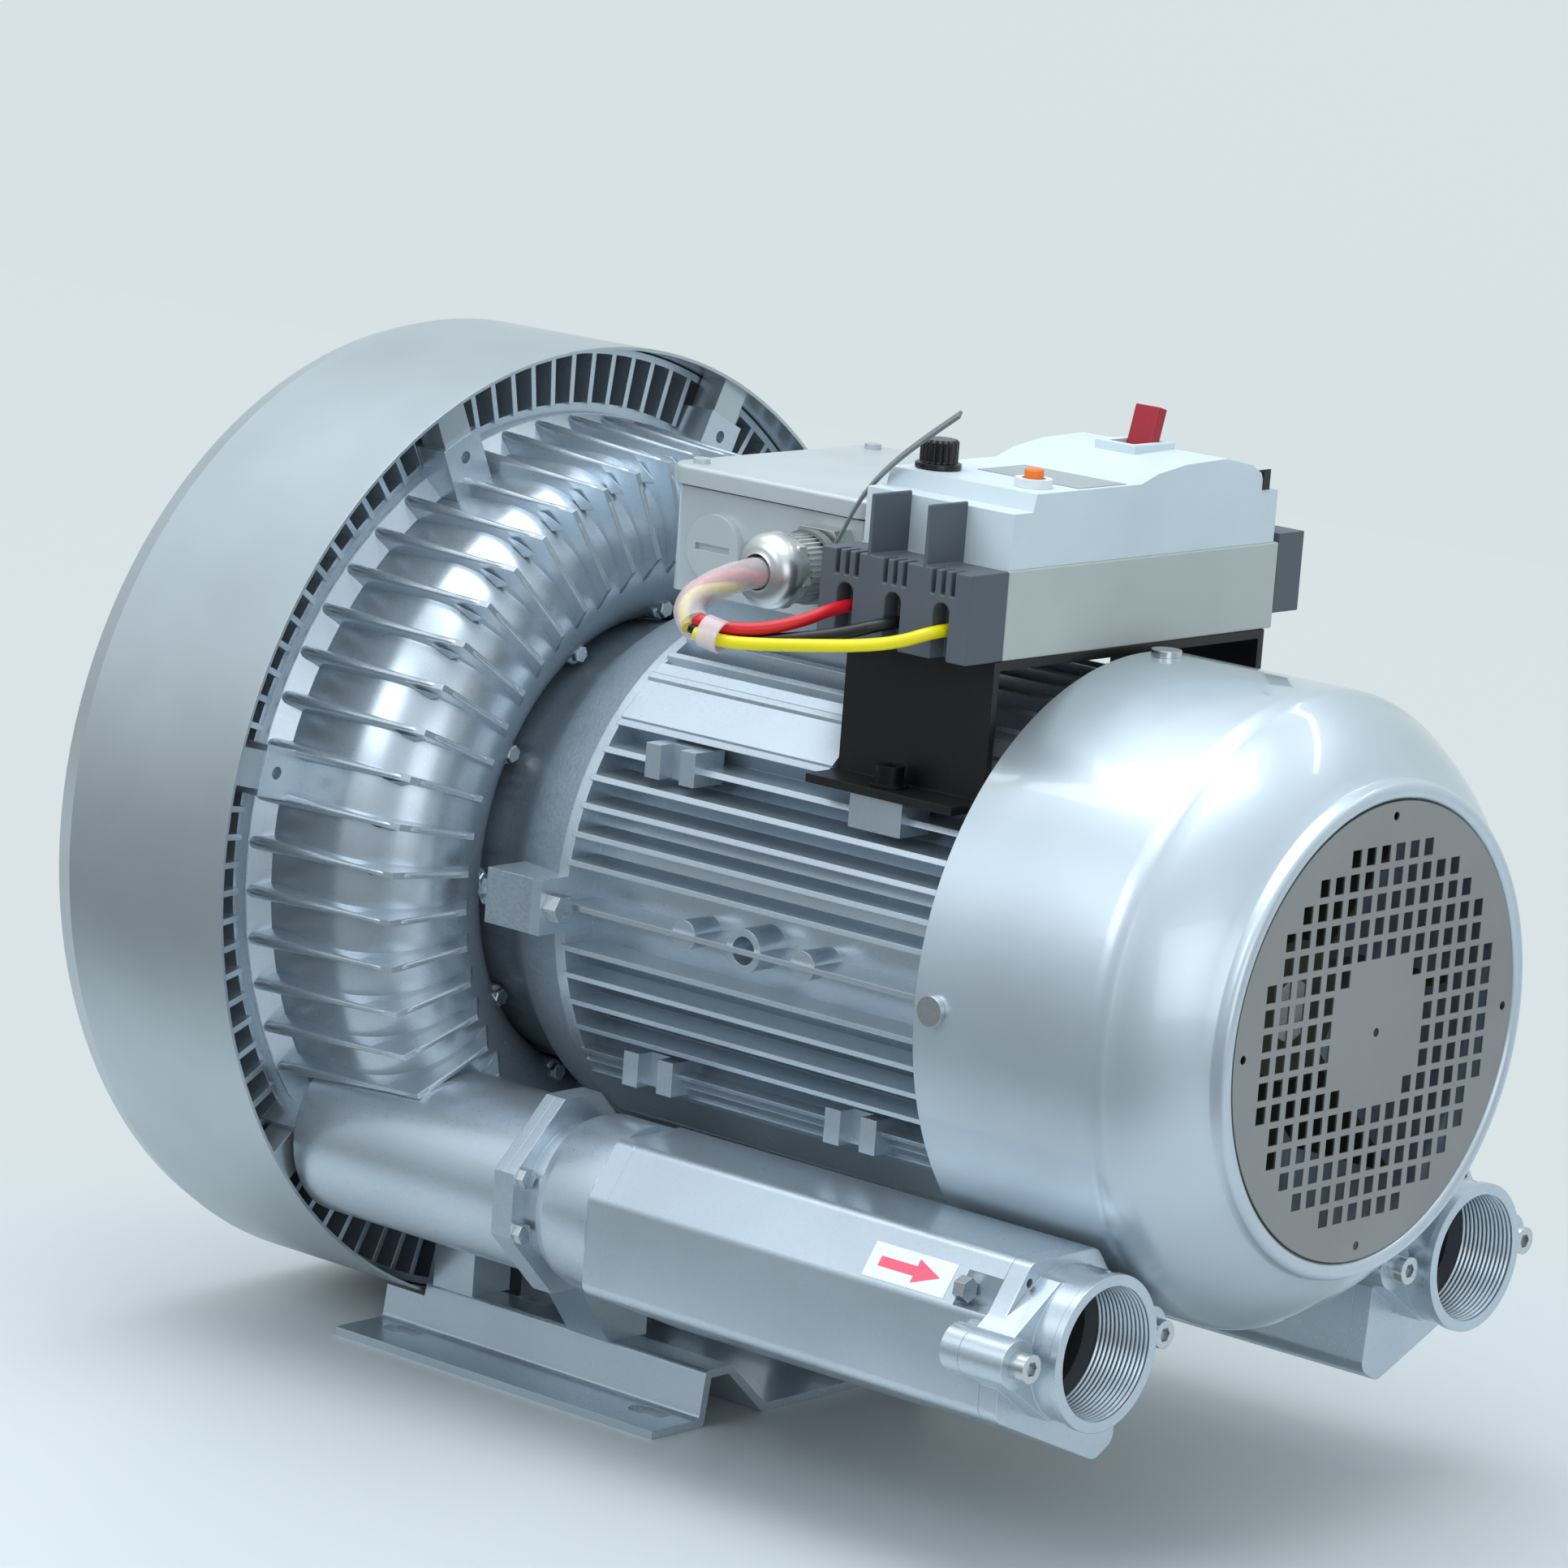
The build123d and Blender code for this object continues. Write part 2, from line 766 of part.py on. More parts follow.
# Motor flange, a bell between the compressor and the motor frame
lug_angles = (0, 90, 180, 270)
with BuildPart() as motor_flange:
    with BuildSketch(section):
        Polygon(
            (bell_x, bell_radius - 20),
            (bell_x, bell_radius),
            (bell_ring_x - 18, bell_radius + 5),
            (bell_ring_x, bell_ring - 7),
            (frame_x, bell_ring),
            (frame_x, frame_bore),
            (frame_x + spigot, frame_bore),
            (frame_x + spigot, frame_bore - 8),
            (drive_bearing_x + drive_bearing_width, frame_bore - 8),
            (drive_bearing_x + drive_bearing_width, drive_bearing_outer),
            (drive_bearing_x, drive_bearing_outer),
            (drive_bearing_x, drive_bearing_outer - 6),
            (drive_bearing_x - 6, drive_bearing_outer - 6),
            (drive_bearing_x - 6, bell_radius - 20),
            align=None,
        )
    revolve(axis=shaft_axis)
    with BuildSketch(station(bell_ring_x)):
        for angle in stud_angles:
            with PolarLocations((bell_radius + bell_lug_radius) / 2, 1, start_angle=angle):
                Rectangle(bell_lug_radius - bell_radius, bell_lug_width)
    extrude(amount=frame_x - bell_ring_x)
    with BuildSketch(station(bell_ring_x)):
        for angle in stud_angles:
            with PolarLocations(stud_circle, 1, start_angle=angle):
                Circle(stud_radius)
    extrude(amount=frame_x - bell_ring_x, mode=Mode.SUBTRACT)
motor_flange.part.label = "motor_flange"
export_step(motor_flange.part, "parts/motor_flange.step")

# Motor frame, straight cooling fins on all four sides
with BuildPart() as motor_frame:
    with BuildSketch(station(frame_fins_x)):
        Circle(frame_core)
        for place in frame_fin_places:
            for side in (-1, 1):
                with Locations((0, side * place)):
                    Rectangle(2 * frame_fin_tip, frame_fin)
                with Locations((side * place, 0)):
                    Rectangle(frame_fin, 2 * frame_fin_tip)
        Circle(frame_fin_tip, mode=Mode.INTERSECT)
        for quarter in range(4):
            with Locations(Location((0, 0), panel_angle - 5 + 90 * quarter)):
                with Locations((panel_radius - 17, 0)):
                    Rectangle(34, panel_width)
    extrude(amount=frame_end_x - frame_fins_x)
    with BuildSketch(station(frame_x)):
        Circle(bell_ring)
        for angle in stud_angles:
            with PolarLocations((bell_radius + bell_lug_radius) / 2, 1, start_angle=angle):
                Rectangle(bell_lug_radius - bell_radius, bell_lug_width)
    extrude(amount=frame_fins_x - frame_x + 1)
    with BuildSketch(level(frame_core - 12)):
        with Locations(((pedestal_x + pedestal_end_x) / 2, 0)):
            Rectangle(pedestal_end_x - pedestal_x, 2 * pedestal_y)
    extrude(amount=pedestal_top - frame_core + 12)
    for side in (0, 180):
        for place, radius in boss_places:
            with BuildSketch(outwards(place, frame_core - 4, side)):
                Circle(radius)
            extrude(amount=boss_tip - frame_core + 4)
    for place in seat_places:
        with BuildSketch(level(seat_top)):
            for side in (-1, 1):
                with Locations((place, side * seat_y)):
                    Rectangle(seat_length, seat_width)
        extrude(amount=-16)
        with BuildSketch(level(-seat_top)):
            for side in (-1, 1):
                with Locations((place, side * seat_y)):
                    Rectangle(seat_length, seat_width)
        extrude(amount=16)
    # Notches for bolt heads in the pads that the bracket leaves free
    for place, height, way in (
        (seat_places[0], seat_top, -1),
        (seat_places[0], -seat_top, 1),
        (seat_places[1], -seat_top, 1),
    ):
        with BuildSketch(level(height)):
            for side in (-1, 1):
                with Locations((place, side * (seat_y + seat_width / 2))):
                    Rectangle(seat_notch, 2 * seat_notch_depth)
        extrude(amount=way * 16, mode=Mode.SUBTRACT)
    # Step for the starter's bracket, bore, cable passage and threads
    with BuildSketch(station(bracket_x - 1)):
        for side in (-1, 1):
            with Locations((side * (bracket_leg_y + 20), seat_top)):
                Rectangle(50, 40, align=(Align.CENTER, Align.MIN))
    extrude(amount=bracket_width + 2, mode=Mode.SUBTRACT)
    with BuildSketch(station(frame_x)):
        Circle(frame_bore)
        for angle in stud_angles:
            with PolarLocations(stud_circle, 1, start_angle=angle):
                Circle(stud_radius)
    extrude(amount=frame_end_x - frame_x, mode=Mode.SUBTRACT)
    with BuildSketch(station(frame_fins_x + 1)):
        for angle in stud_angles:
            with PolarLocations(stud_circle, 1, start_angle=angle):
                Circle(stud_nut + 1)
    extrude(amount=2 * stud_radius + 2, mode=Mode.SUBTRACT)
    with BuildSketch(level(pedestal_top)):
        with Locations(((pedestal_x + pedestal_end_x) / 2, 0)):
            Rectangle(passage, passage)
    extrude(amount=-pedestal_top + 60, mode=Mode.SUBTRACT)
    for side in (0, 180):
        with BuildSketch(outwards(boss_places[1][0], boss_tip, side)):
            Circle(boss_places[1][1] - 3.5)
        extrude(amount=-16, mode=Mode.SUBTRACT)
    for side in (-1, 1):
        with BuildSketch(level(seat_top)):
            with Locations((bracket_screw_x, side * bracket_screw_y)):
                Circle(bracket_screw)
        extrude(amount=-14, mode=Mode.SUBTRACT)
motor_frame.part.label = "motor_frame"
export_step(motor_frame.part, "parts/motor_frame.step")

with BuildPart() as flange_studs:
    with BuildSketch(station(bell_ring_x)):
        for angle in stud_angles:
            with PolarLocations(stud_circle, 1, start_angle=angle):
                Circle(stud_radius)
    extrude(amount=frame_fins_x + 1 - bell_ring_x)
    with BuildSketch(station(frame_fins_x + 1)):
        for angle in stud_angles:
            with PolarLocations(stud_circle, 1, start_angle=angle):
                RegularPolygon(stud_nut, 6)
    extrude(amount=2 * stud_radius)
    with BuildSketch(station(bell_ring_x)):
        for angle in stud_angles:
            with PolarLocations(stud_circle, 1, start_angle=angle):
                RegularPolygon(stud_nut, 6)
    extrude(amount=-1.6 * stud_radius)
flange_studs.part.label = "flange_studs"
export_step(flange_studs.part, "parts/flange_studs.step")

# Stator, windings and rotor
with BuildPart() as stator_core:
    with BuildSketch(station(stator_x)):
        Circle(frame_bore)
        Circle(stator_bore, mode=Mode.SUBTRACT)
        with PolarLocations(stator_bore + 13, stator_slots):
            Rectangle(18, 7, mode=Mode.SUBTRACT)
    extrude(amount=stator_length)
stator_core.part.label = "stator_core"
export_step(stator_core.part, "parts/stator_core.step")

with BuildPart() as stator_windings:
    for start in (stator_x - winding_length, stator_x + stator_length):
        with BuildSketch(station(start)):
            Circle(frame_bore - 10)
            Circle(stator_bore + 4, mode=Mode.SUBTRACT)
        extrude(amount=winding_length)
stator_windings.part.label = "stator_windings"
export_step(stator_windings.part, "parts/stator_windings.step")

with BuildPart() as rotor_core:
    with BuildSketch(station(stator_x)):
        Circle(stator_bore - air_gap)
    extrude(amount=stator_length)
    with BuildSketch(station(stator_x - 8)):
        Circle(stator_bore - 8)
    extrude(amount=stator_length + 16)
    with BuildSketch(station(stator_x - 8)):
        Circle(shaft_core)
    extrude(amount=stator_length + 16, mode=Mode.SUBTRACT)
rotor_core.part.label = "rotor_core"
export_step(rotor_core.part, "parts/rotor_core.step")

# End shield with the rear bearing and four pads for the cowl
cowl_inner = cowl_radius - cowl_sheet
with BuildPart() as end_shield:
    with BuildSketch(section):
        Polygon(
            (shield_x - spigot, frame_bore - 8),
            (shield_x - spigot, frame_bore),
            (shield_x, frame_bore),
            (shield_x, shield_radius),
            (shield_end_x, shield_radius),
            (shield_end_x, rear_bearing_outer - 6),
            (rear_bearing_x + rear_bearing_width, rear_bearing_outer - 6),
            (rear_bearing_x + rear_bearing_width, rear_bearing_outer),
            (rear_bearing_x, rear_bearing_outer),
            (rear_bearing_x, rear_bearing_outer + 10),
            (shield_x + 6, rear_bearing_outer + 14),
            (shield_x + 6, frame_bore - 8),
            align=None,
        )
    revolve(axis=shaft_axis)
    with BuildSketch(station(shield_x + 3)):
        with PolarLocations((shield_radius + cowl_inner) / 2 - 2, 4):
            Rectangle(cowl_inner - shield_radius + 8, 20)
        Circle(cowl_inner, mode=Mode.INTERSECT)
    extrude(amount=shield_end_x - shield_x - 3)
    for angle in lug_angles:
        with BuildSketch(outwards(cowl_screw_x, cowl_radius, angle)):
            Circle(cowl_screw)
        extrude(amount=-cowl_screw_length, mode=Mode.SUBTRACT)
end_shield.part.label = "end_shield"
export_step(end_shield.part, "parts/end_shield.step")

# Fan cowl, guard and fan
cone_middle = (cowl_radius + cowl_cone_radius) / 2
cone_turn = math.degrees(math.atan2(cowl_cone_x - cowl_shoulder_x, cowl_radius - cowl_cone_radius))
shoulder_x = cowl_shoulder_x - cowl_corner * math.tan(math.radians(90 - cone_turn) / 2)
with BuildPart() as fan_cowl:
    with BuildSketch(section):
        Polygon(
            (cowl_x, cowl_inner),
            (cowl_x, cowl_radius),
            *bend(shoulder_x, cowl_radius - cowl_corner, cowl_corner, 90, cone_turn, turned_steps),
            ((cowl_shoulder_x + cowl_cone_x) / 2 + cowl_bulge, cone_middle + cowl_bulge),
            (cowl_cone_x, cowl_cone_radius),
            (cowl_end_x - 4, cowl_cone_radius - 2.5),
            (cowl_end_x - 1, cowl_cone_radius - 4),
            (cowl_end_x, cowl_cone_radius - 7),
            (cowl_end_x, guard_radius),
            (guard_x, guard_radius),
            (guard_x, guard_radius - 3),
            (guard_x - 2, guard_radius - 3),
            (guard_x - 2, cowl_cone_radius - 7),
            (cowl_cone_x - 1, cowl_cone_radius - cowl_sheet),
            (shoulder_x + cowl_corner * 0.5, cowl_inner - cowl_corner * 0.25),
            (shoulder_x, cowl_inner),
            align=None,
        )
    revolve(axis=shaft_axis)
    for angle in lug_angles:
        with BuildSketch(outwards(cowl_screw_x, cowl_radius, angle)):
            Circle(cowl_screw)
        extrude(amount=-cowl_screw_length, mode=Mode.SUBTRACT)
fan_cowl.part.label = "fan_cowl"
export_step(fan_cowl.part, "parts/fan_cowl.step")

with BuildPart() as cowl_screws:
    for angle in lug_angles:
        with BuildSketch(outwards(cowl_screw_x, cowl_radius, angle)):
            Circle(cowl_screw)
        extrude(amount=-cowl_screw_length)
        with BuildSketch(outwards(cowl_screw_x, cowl_radius, angle)):
            Circle(2.3 * cowl_screw)
        extrude(amount=cowl_screw)
cowl_screws.part.label = "cowl_screws"
export_step(cowl_screws.part, "parts/cowl_screws.step")

guard_half_rows = int(guard_holes_outer)
with BuildPart() as fan_guard:
    with BuildSketch(station(guard_x)):
        Circle(guard_radius)
        for row in range(-guard_half_rows - 1, guard_half_rows + 1):
            for column in range(-guard_half_rows - 1, guard_half_rows + 1):
                reach = math.hypot(row + 0.5, column + 0.5)
                if guard_holes_inner < reach <= guard_holes_outer:
                    with Locations(((column + 0.5) * guard_pitch, (row + 0.5) * guard_pitch)):
                        Rectangle(guard_hole_width, guard_hole_height, mode=Mode.SUBTRACT)
        with PolarLocations(guard_rivet_radius, 4):
            Circle(guard_rivet, mode=Mode.SUBTRACT)
        Circle(guard_rivet, mode=Mode.SUBTRACT)
    extrude(amount=guard_sheet)
fan_guard.part.label = "fan_guard"
export_step(fan_guard.part, "parts/fan_guard.step")

with BuildPart() as cooling_fan:
    with BuildSketch(station(fan_x)):
        Circle(fan_hub)
        with PolarLocations((fan_hub + fan_radius) / 2, fan_blades):
            Rectangle(fan_radius - fan_hub + 2, fan_blade)
        Circle(shaft_tail, mode=Mode.SUBTRACT)
    extrude(amount=fan_length)
cooling_fan.part.label = "cooling_fan"
export_step(cooling_fan.part, "parts/cooling_fan.step")

# Outlet: neck casting, silencer shell, foam, perforated tube and port flange
port_centre = Location((port_y, port_z))
lobe_places = ((-lobe_offset, 0), (lobe_offset, 0))
lobe_web = (
    (-lobe_offset, lobe_radius),
    (-web_reach, web_rise),
    (web_reach, web_rise),
    (lobe_offset, lobe_radius),
    (lobe_offset, -lobe_radius),
    (web_reach, -web_rise),
    (-web_reach, -web_rise),
    (-lobe_offset, -lobe_radius),
)
with BuildPart() as outlet_neck:
    with BuildSketch(station(neck_x)):
        with Locations(port_centre):
            Rectangle(2 * duct_flange_half_width, 2 * duct_flange_half_height)
        chamfer(vertices(), duct_flange_chamfer)
    extrude(amount=neck_flange_x - neck_x)
    bulge_x = neck_flange_x + neck_length
    with BuildSketch(facing(port_y)):
        Polygon(
            (neck_flange_x - 1, port_z + duct_bore),
            (neck_flange_x - 1, port_z + neck_radius),
            (bulge_x, port_z + neck_radius),
            (bulge_x + 3, port_z + neck_bulge - 2),
            (bulge_x + 9, port_z + neck_bulge),
            (cap_x, port_z + neck_bulge),
            (cap_x, port_z + duct_bore),
            align=None,
        )
    revolve(axis=Axis(on_part((0, port_y, port_z)), (1, 0, 0)))
    with BuildSketch(station(cap_x)):
        with Locations(port_centre):
            Polygon(*silencer_outline, align=None)
        fillet(vertices(), silencer_corner)
    extrude(amount=cap_end_x - cap_x)
    with BuildSketch(station(neck_x)):
        with Locations(port_centre):
            Circle(duct_bore)
            with GridLocations(2 * duct_bolt_y, 2 * duct_bolt_z, 2, 2):
                Circle(duct_bolt)
    extrude(amount=neck_flange_x - neck_x, mode=Mode.SUBTRACT)
    with BuildSketch(station(neck_flange_x)):
        with Locations(port_centre):
            Circle(duct_bore)
    extrude(amount=cap_end_x - neck_flange_x, mode=Mode.SUBTRACT)
outlet_neck.part.label = "outlet_neck"
export_step(outlet_neck.part, "parts/outlet_neck.step")

with BuildPart() as outlet_silencer:
    with BuildSketch(station(cap_end_x)):
        with Locations(port_centre):
            Polygon(*silencer_outline, align=None)
        fillet(vertices(), silencer_corner)
    extrude(amount=silencer_end_x - cap_end_x)
    with BuildSketch(station(silencer_end_x)):
        with Locations(port_centre):
            with Locations(*lobe_places):
                Circle(lobe_radius)
    extrude(amount=-lobe_root)
    with BuildSketch(station(cap_end_x)):
        with Locations(port_centre):
            Polygon(*silencer_outline, align=None)
        fillet(vertices(), silencer_corner)
        offset(amount=-silencer_wall)
    extrude(amount=silencer_end_x - cap_end_x, mode=Mode.SUBTRACT)
    # A pocket with its own walls for the head of the long bolt
    with BuildSketch(station(pocket_x - pocket_wall)):
        with Locations(port_centre):
            Polygon(*silencer_outline, align=None)
        fillet(vertices(), silencer_corner)
        with Locations(port_centre):
            with Locations(pocket_place):
                Rectangle(
                    pocket_width + 2 * pocket_wall, pocket_height + 2 * pocket_wall, mode=Mode.INTERSECT
                )
    extrude(amount=silencer_end_x - pocket_x + pocket_wall)
    with BuildSketch(station(pocket_x)):
        with Locations(port_centre):
            with Locations(pocket_place):
                Rectangle(pocket_width, pocket_height)
    extrude(amount=silencer_end_x - pocket_x, mode=Mode.SUBTRACT)
    with BuildSketch(station(silencer_end_x)):
        with Locations(port_centre):
            with Locations(*lobe_places):
                Circle(lobe_screw)
    extrude(amount=-lobe_root, mode=Mode.SUBTRACT)
outlet_silencer.part.label = "outlet_silencer"
export_step(outlet_silencer.part, "parts/outlet_silencer.step")

with BuildPart() as outlet_foam:
    with BuildSketch(station(cap_end_x)):
        with Locations(port_centre):
            Polygon(*silencer_outline, align=None)
        fillet(vertices(), silencer_corner)
        offset(amount=-silencer_wall)
        with Locations(port_centre):
            Circle(tube_radius, mode=Mode.SUBTRACT)
    extrude(amount=silencer_end_x - cap_end_x)
    with BuildSketch(station(silencer_end_x)):
        with Locations(port_centre):
            with Locations(*lobe_places):
                Circle(lobe_radius)
    extrude(amount=-lobe_root, mode=Mode.SUBTRACT)
    with BuildSketch(station(silencer_end_x)):
        with Locations(port_centre):
            with Locations(pocket_place):
                Rectangle(pocket_width + 2 * pocket_wall, pocket_height + 2 * pocket_wall)
    extrude(amount=pocket_x - pocket_wall - silencer_end_x, mode=Mode.SUBTRACT)
outlet_foam.part.label = "outlet_foam"
export_step(outlet_foam.part, "parts/outlet_foam.step")

with BuildPart() as outlet_tube:
    with BuildSketch(station(cap_end_x)):
        with Locations(port_centre):
            Circle(tube_radius)
            Circle(tube_radius - tube_wall, mode=Mode.SUBTRACT)
    extrude(amount=silencer_end_x - cap_end_x)
outlet_tube.part.label = "outlet_tube"
export_step(outlet_tube.part, "parts/outlet_tube.step")

with BuildPart() as outlet_flange:
    with BuildSketch(station(silencer_end_x)):
        with Locations(port_centre):
            Polygon(*silencer_outline, align=None)
        fillet(vertices(), silencer_corner)
    extrude(amount=port_flange_end_x - silencer_end_x)
    with BuildSketch(station(silencer_end_x)):
        with Locations(port_centre):
            with Locations(*lobe_places):
                Circle(lobe_radius)
    extrude(amount=lobe_end_x - silencer_end_x)
    # Webs from the lobes to the collar, and the collar's lip
    with BuildSketch(station(silencer_end_x)):
        with Locations(port_centre):
            Polygon(*lobe_web, align=None)
    extrude(amount=lobe_end_x - 3 - silencer_end_x)
    with BuildSketch(station(port_flange_end_x)):
        with Locations(port_centre):
            Circle(collar_radius)
    extrude(amount=collar_end_x - port_flange_end_x)
    with BuildSketch(station(collar_end_x - lip_depth)):
        with Locations(port_centre):
            Circle(lip_radius)
    extrude(amount=lip_depth)
    with BuildSketch(station(silencer_end_x)):
        with Locations(port_centre):
            Circle(port_thread_radius)
            with Locations(plate_hole_place):
                Circle(plate_hole)
            with Locations(*lobe_places):
                Circle(lobe_screw)
    extrude(amount=collar_end_x - silencer_end_x, mode=Mode.SUBTRACT)
outlet_flange.part.label = "outlet_flange"
export_step(outlet_flange.part, "parts/outlet_flange.step")

# Inlet, the same pieces on the far side
with BuildPart() as inlet_neck:
    mirror(outlet_neck.part, about=Plane.XZ)
inlet_neck.part.label = "inlet_neck"
export_step(inlet_neck.part, "parts/inlet_neck.step")

with BuildPart() as inlet_silencer:
    mirror(outlet_silencer.part, about=Plane.XZ)
inlet_silencer.part.label = "inlet_silencer"
export_step(inlet_silencer.part, "parts/inlet_silencer.step")

with BuildPart() as inlet_foam:
    mirror(outlet_foam.part, about=Plane.XZ)
inlet_foam.part.label = "inlet_foam"
export_step(inlet_foam.part, "parts/inlet_foam.step")

with BuildPart() as inlet_tube:
    mirror(outlet_tube.part, about=Plane.XZ)
inlet_tube.part.label = "inlet_tube"
export_step(inlet_tube.part, "parts/inlet_tube.step")

with BuildPart() as inlet_flange:
    mirror(outlet_flange.part, about=Plane.XZ)
inlet_flange.part.label = "inlet_flange"
export_step(inlet_flange.part, "parts/inlet_flange.step")

with BuildPart() as silencer_screws:
    for centre in port_places:
        with BuildSketch(station(lobe_end_x)):
            with Locations(centre):
                with Locations(*lobe_places):
                    Circle(lobe_screw)
        extrude(amount=silencer_end_x - lobe_end_x - lobe_root + 2)
        with BuildSketch(station(lobe_end_x)):
            with Locations(centre):
                with Locations(*lobe_places):
                    Circle(1.6 * lobe_screw)
        extrude(amount=2 * lobe_screw)
        with BuildSketch(station(lobe_end_x + 2 * lobe_screw)):
            with Locations(centre):
                with Locations(*lobe_places):
                    RegularPolygon(0.85 * lobe_screw, 6)
        extrude(amount=-lobe_screw, mode=Mode.SUBTRACT)
    for side in (-1, 1):
        with BuildSketch(station(pocket_x)):
            with Locations((side * -(port_y + bolt_y), port_z + pocket_place[1])):
                RegularPolygon(pocket_bolt, 6, rotation=20)
        extrude(amount=pocket_bolt)
silencer_screws.part.label = "silencer_screws"
export_step(silencer_screws.part, "parts/silencer_screws.step")

with BuildPart() as duct_bolts:
    for centre in port_places:
        with BuildSketch(station(neck_flange_x)):
            with Locations(centre):
                with GridLocations(2 * duct_bolt_y, 2 * duct_bolt_z, 2, 2):
                    Circle(duct_bolt)
        extrude(amount=duct_flange_x - neck_flange_x)
        with BuildSketch(station(neck_flange_x)):
            with Locations(centre):
                with GridLocations(2 * duct_bolt_y, 2 * duct_bolt_z, 2, 2):
                    RegularPolygon(1.6 * duct_bolt, 6)
        extrude(amount=1.4 * duct_bolt)
duct_bolts.part.label = "duct_bolts"
export_step(duct_bolts.part, "parts/duct_bolts.step")

# Foot, one bent plate with two ridges and four slots
half_foot = (
    (0, 0),
    (ridge_y - 32, 0),
    (ridge_y - 6, ridge_height - foot_plate),
    (ridge_y + 6, ridge_height - foot_plate),
    (ridge_y + 9, 0),
    (foot_half_width, 0),
    (foot_half_width, foot_plate),
    (ridge_y + 13, foot_plate),
    (ridge_y + 10, ridge_height),
    (ridge_y - 8, ridge_height),
    (ridge_y - 34, foot_plate),
    (0, foot_plate),
)
with BuildPart() as foot:
    with BuildSketch(station(split_x)):
        with Locations((0, -axis_height)):
            Polygon(*half_foot, align=None)
        ridge_inside = ridge_height - foot_plate - axis_height
        turns = [corner for corner in vertices() if 1 < corner.X < foot_half_width - 1]
        bends = [corner for corner in turns if abs(corner.Y - ridge_inside) > 1]
        fillet(bends, foot_bend)
        mirror(about=Plane.YZ)
    extrude(amount=foot_length)
    with BuildSketch(level(-axis_height)):
        with Locations((-rim_x, 0)):
            with GridLocations(slot_spacing_x, slot_spacing_y, 2, 2):
                SlotOverall(slot_length, slot_width)
    extrude(amount=foot_plate + 8, mode=Mode.SUBTRACT)
    with BuildSketch(level(ridge_height - axis_height)):
        for x in foot_lug_x:
            for side in (-1, 1):
                with Locations((x, side * ridge_y)):
                    Circle(foot_bolt)
    extrude(amount=-foot_plate, mode=Mode.SUBTRACT)
    # The ridges stop short of the drum
    with BuildSketch(station(split_x)):
        Circle(drum_radius + 1.5)
    extrude(amount=2 - split_x, mode=Mode.SUBTRACT)
foot.part.label = "foot"
export_step(foot.part, "parts/foot.step")

with BuildPart() as foot_bolts:
    for x in foot_lug_x:
        for side in (-1, 1):
            with BuildSketch(level(ridge_height - foot_plate - axis_height)):
                with Locations((x, side * ridge_y)):
                    Circle(foot_bolt)
            extrude(amount=foot_plate + 10)
            with BuildSketch(level(ridge_height - foot_plate - axis_height)):
                with Locations((x, side * ridge_y)):
                    RegularPolygon(1.1 * foot_bolt, 6)
            extrude(amount=-1.2 * foot_bolt)
foot_bolts.part.label = "foot_bolts"
export_step(foot_bolts.part, "parts/foot_bolts.step")

# Terminal box with its gasket, lid and terminal board
box_centre_x = box_x + box_length / 2
box_centre_y = (box_front_y + box_back_y) / 2
box_width = box_back_y - box_front_y
post_pitch_x = box_length - 2 * box_post_inset
post_pitch_y = box_width - 2 * box_post_inset
with BuildPart() as terminal_box:
    with BuildSketch(level(pedestal_top)):
        with Locations((box_centre_x, box_centre_y)):
            RectangleRounded(box_length, box_width, box_post)
    extrude(amount=box_top - pedestal_top)
    with BuildSketch(level(pedestal_top + box_wall)):
        with Locations((box_centre_x, box_centre_y)):
            Rectangle(box_length - 2 * box_wall, box_width - 2 * box_wall)
            with GridLocations(post_pitch_x, post_pitch_y, 2, 2):
                Rectangle(2 * box_post, 2 * box_post, mode=Mode.SUBTRACT)
    extrude(amount=box_top - pedestal_top, mode=Mode.SUBTRACT)
    with BuildSketch(level(pedestal_top)):
        with Locations(((pedestal_x + pedestal_end_x) / 2, 0)):
            Rectangle(passage - 20, passage)
    extrude(amount=box_wall, mode=Mode.SUBTRACT)
    with BuildSketch(level(box_top)):
        with Locations((box_centre_x, box_centre_y)):
            with GridLocations(post_pitch_x, post_pitch_y, 2, 2):
                Circle(lid_screw)
    extrude(amount=-16, mode=Mode.SUBTRACT)
    with BuildSketch(facing(box_front_y)):
        with Locations((gland_x, gland_z)):
            Circle(gland_thread)
        with Locations((plug_x, plug_z)):
            Circle(plug_thread)
    extrude(amount=-box_wall, mode=Mode.SUBTRACT)
terminal_box.part.label = "terminal_box"
export_step(terminal_box.part, "parts/terminal_box.step")

with BuildPart() as box_gasket:
    with BuildSketch(level(box_top)):
        with Locations((box_centre_x, box_centre_y)):
            RectangleRounded(box_length, box_width, box_post)
            Rectangle(box_length - 2 * box_wall, box_width - 2 * box_wall, mode=Mode.SUBTRACT)
    extrude(amount=gasket)
box_gasket.part.label = "box_gasket"
export_step(box_gasket.part, "parts/box_gasket.step")

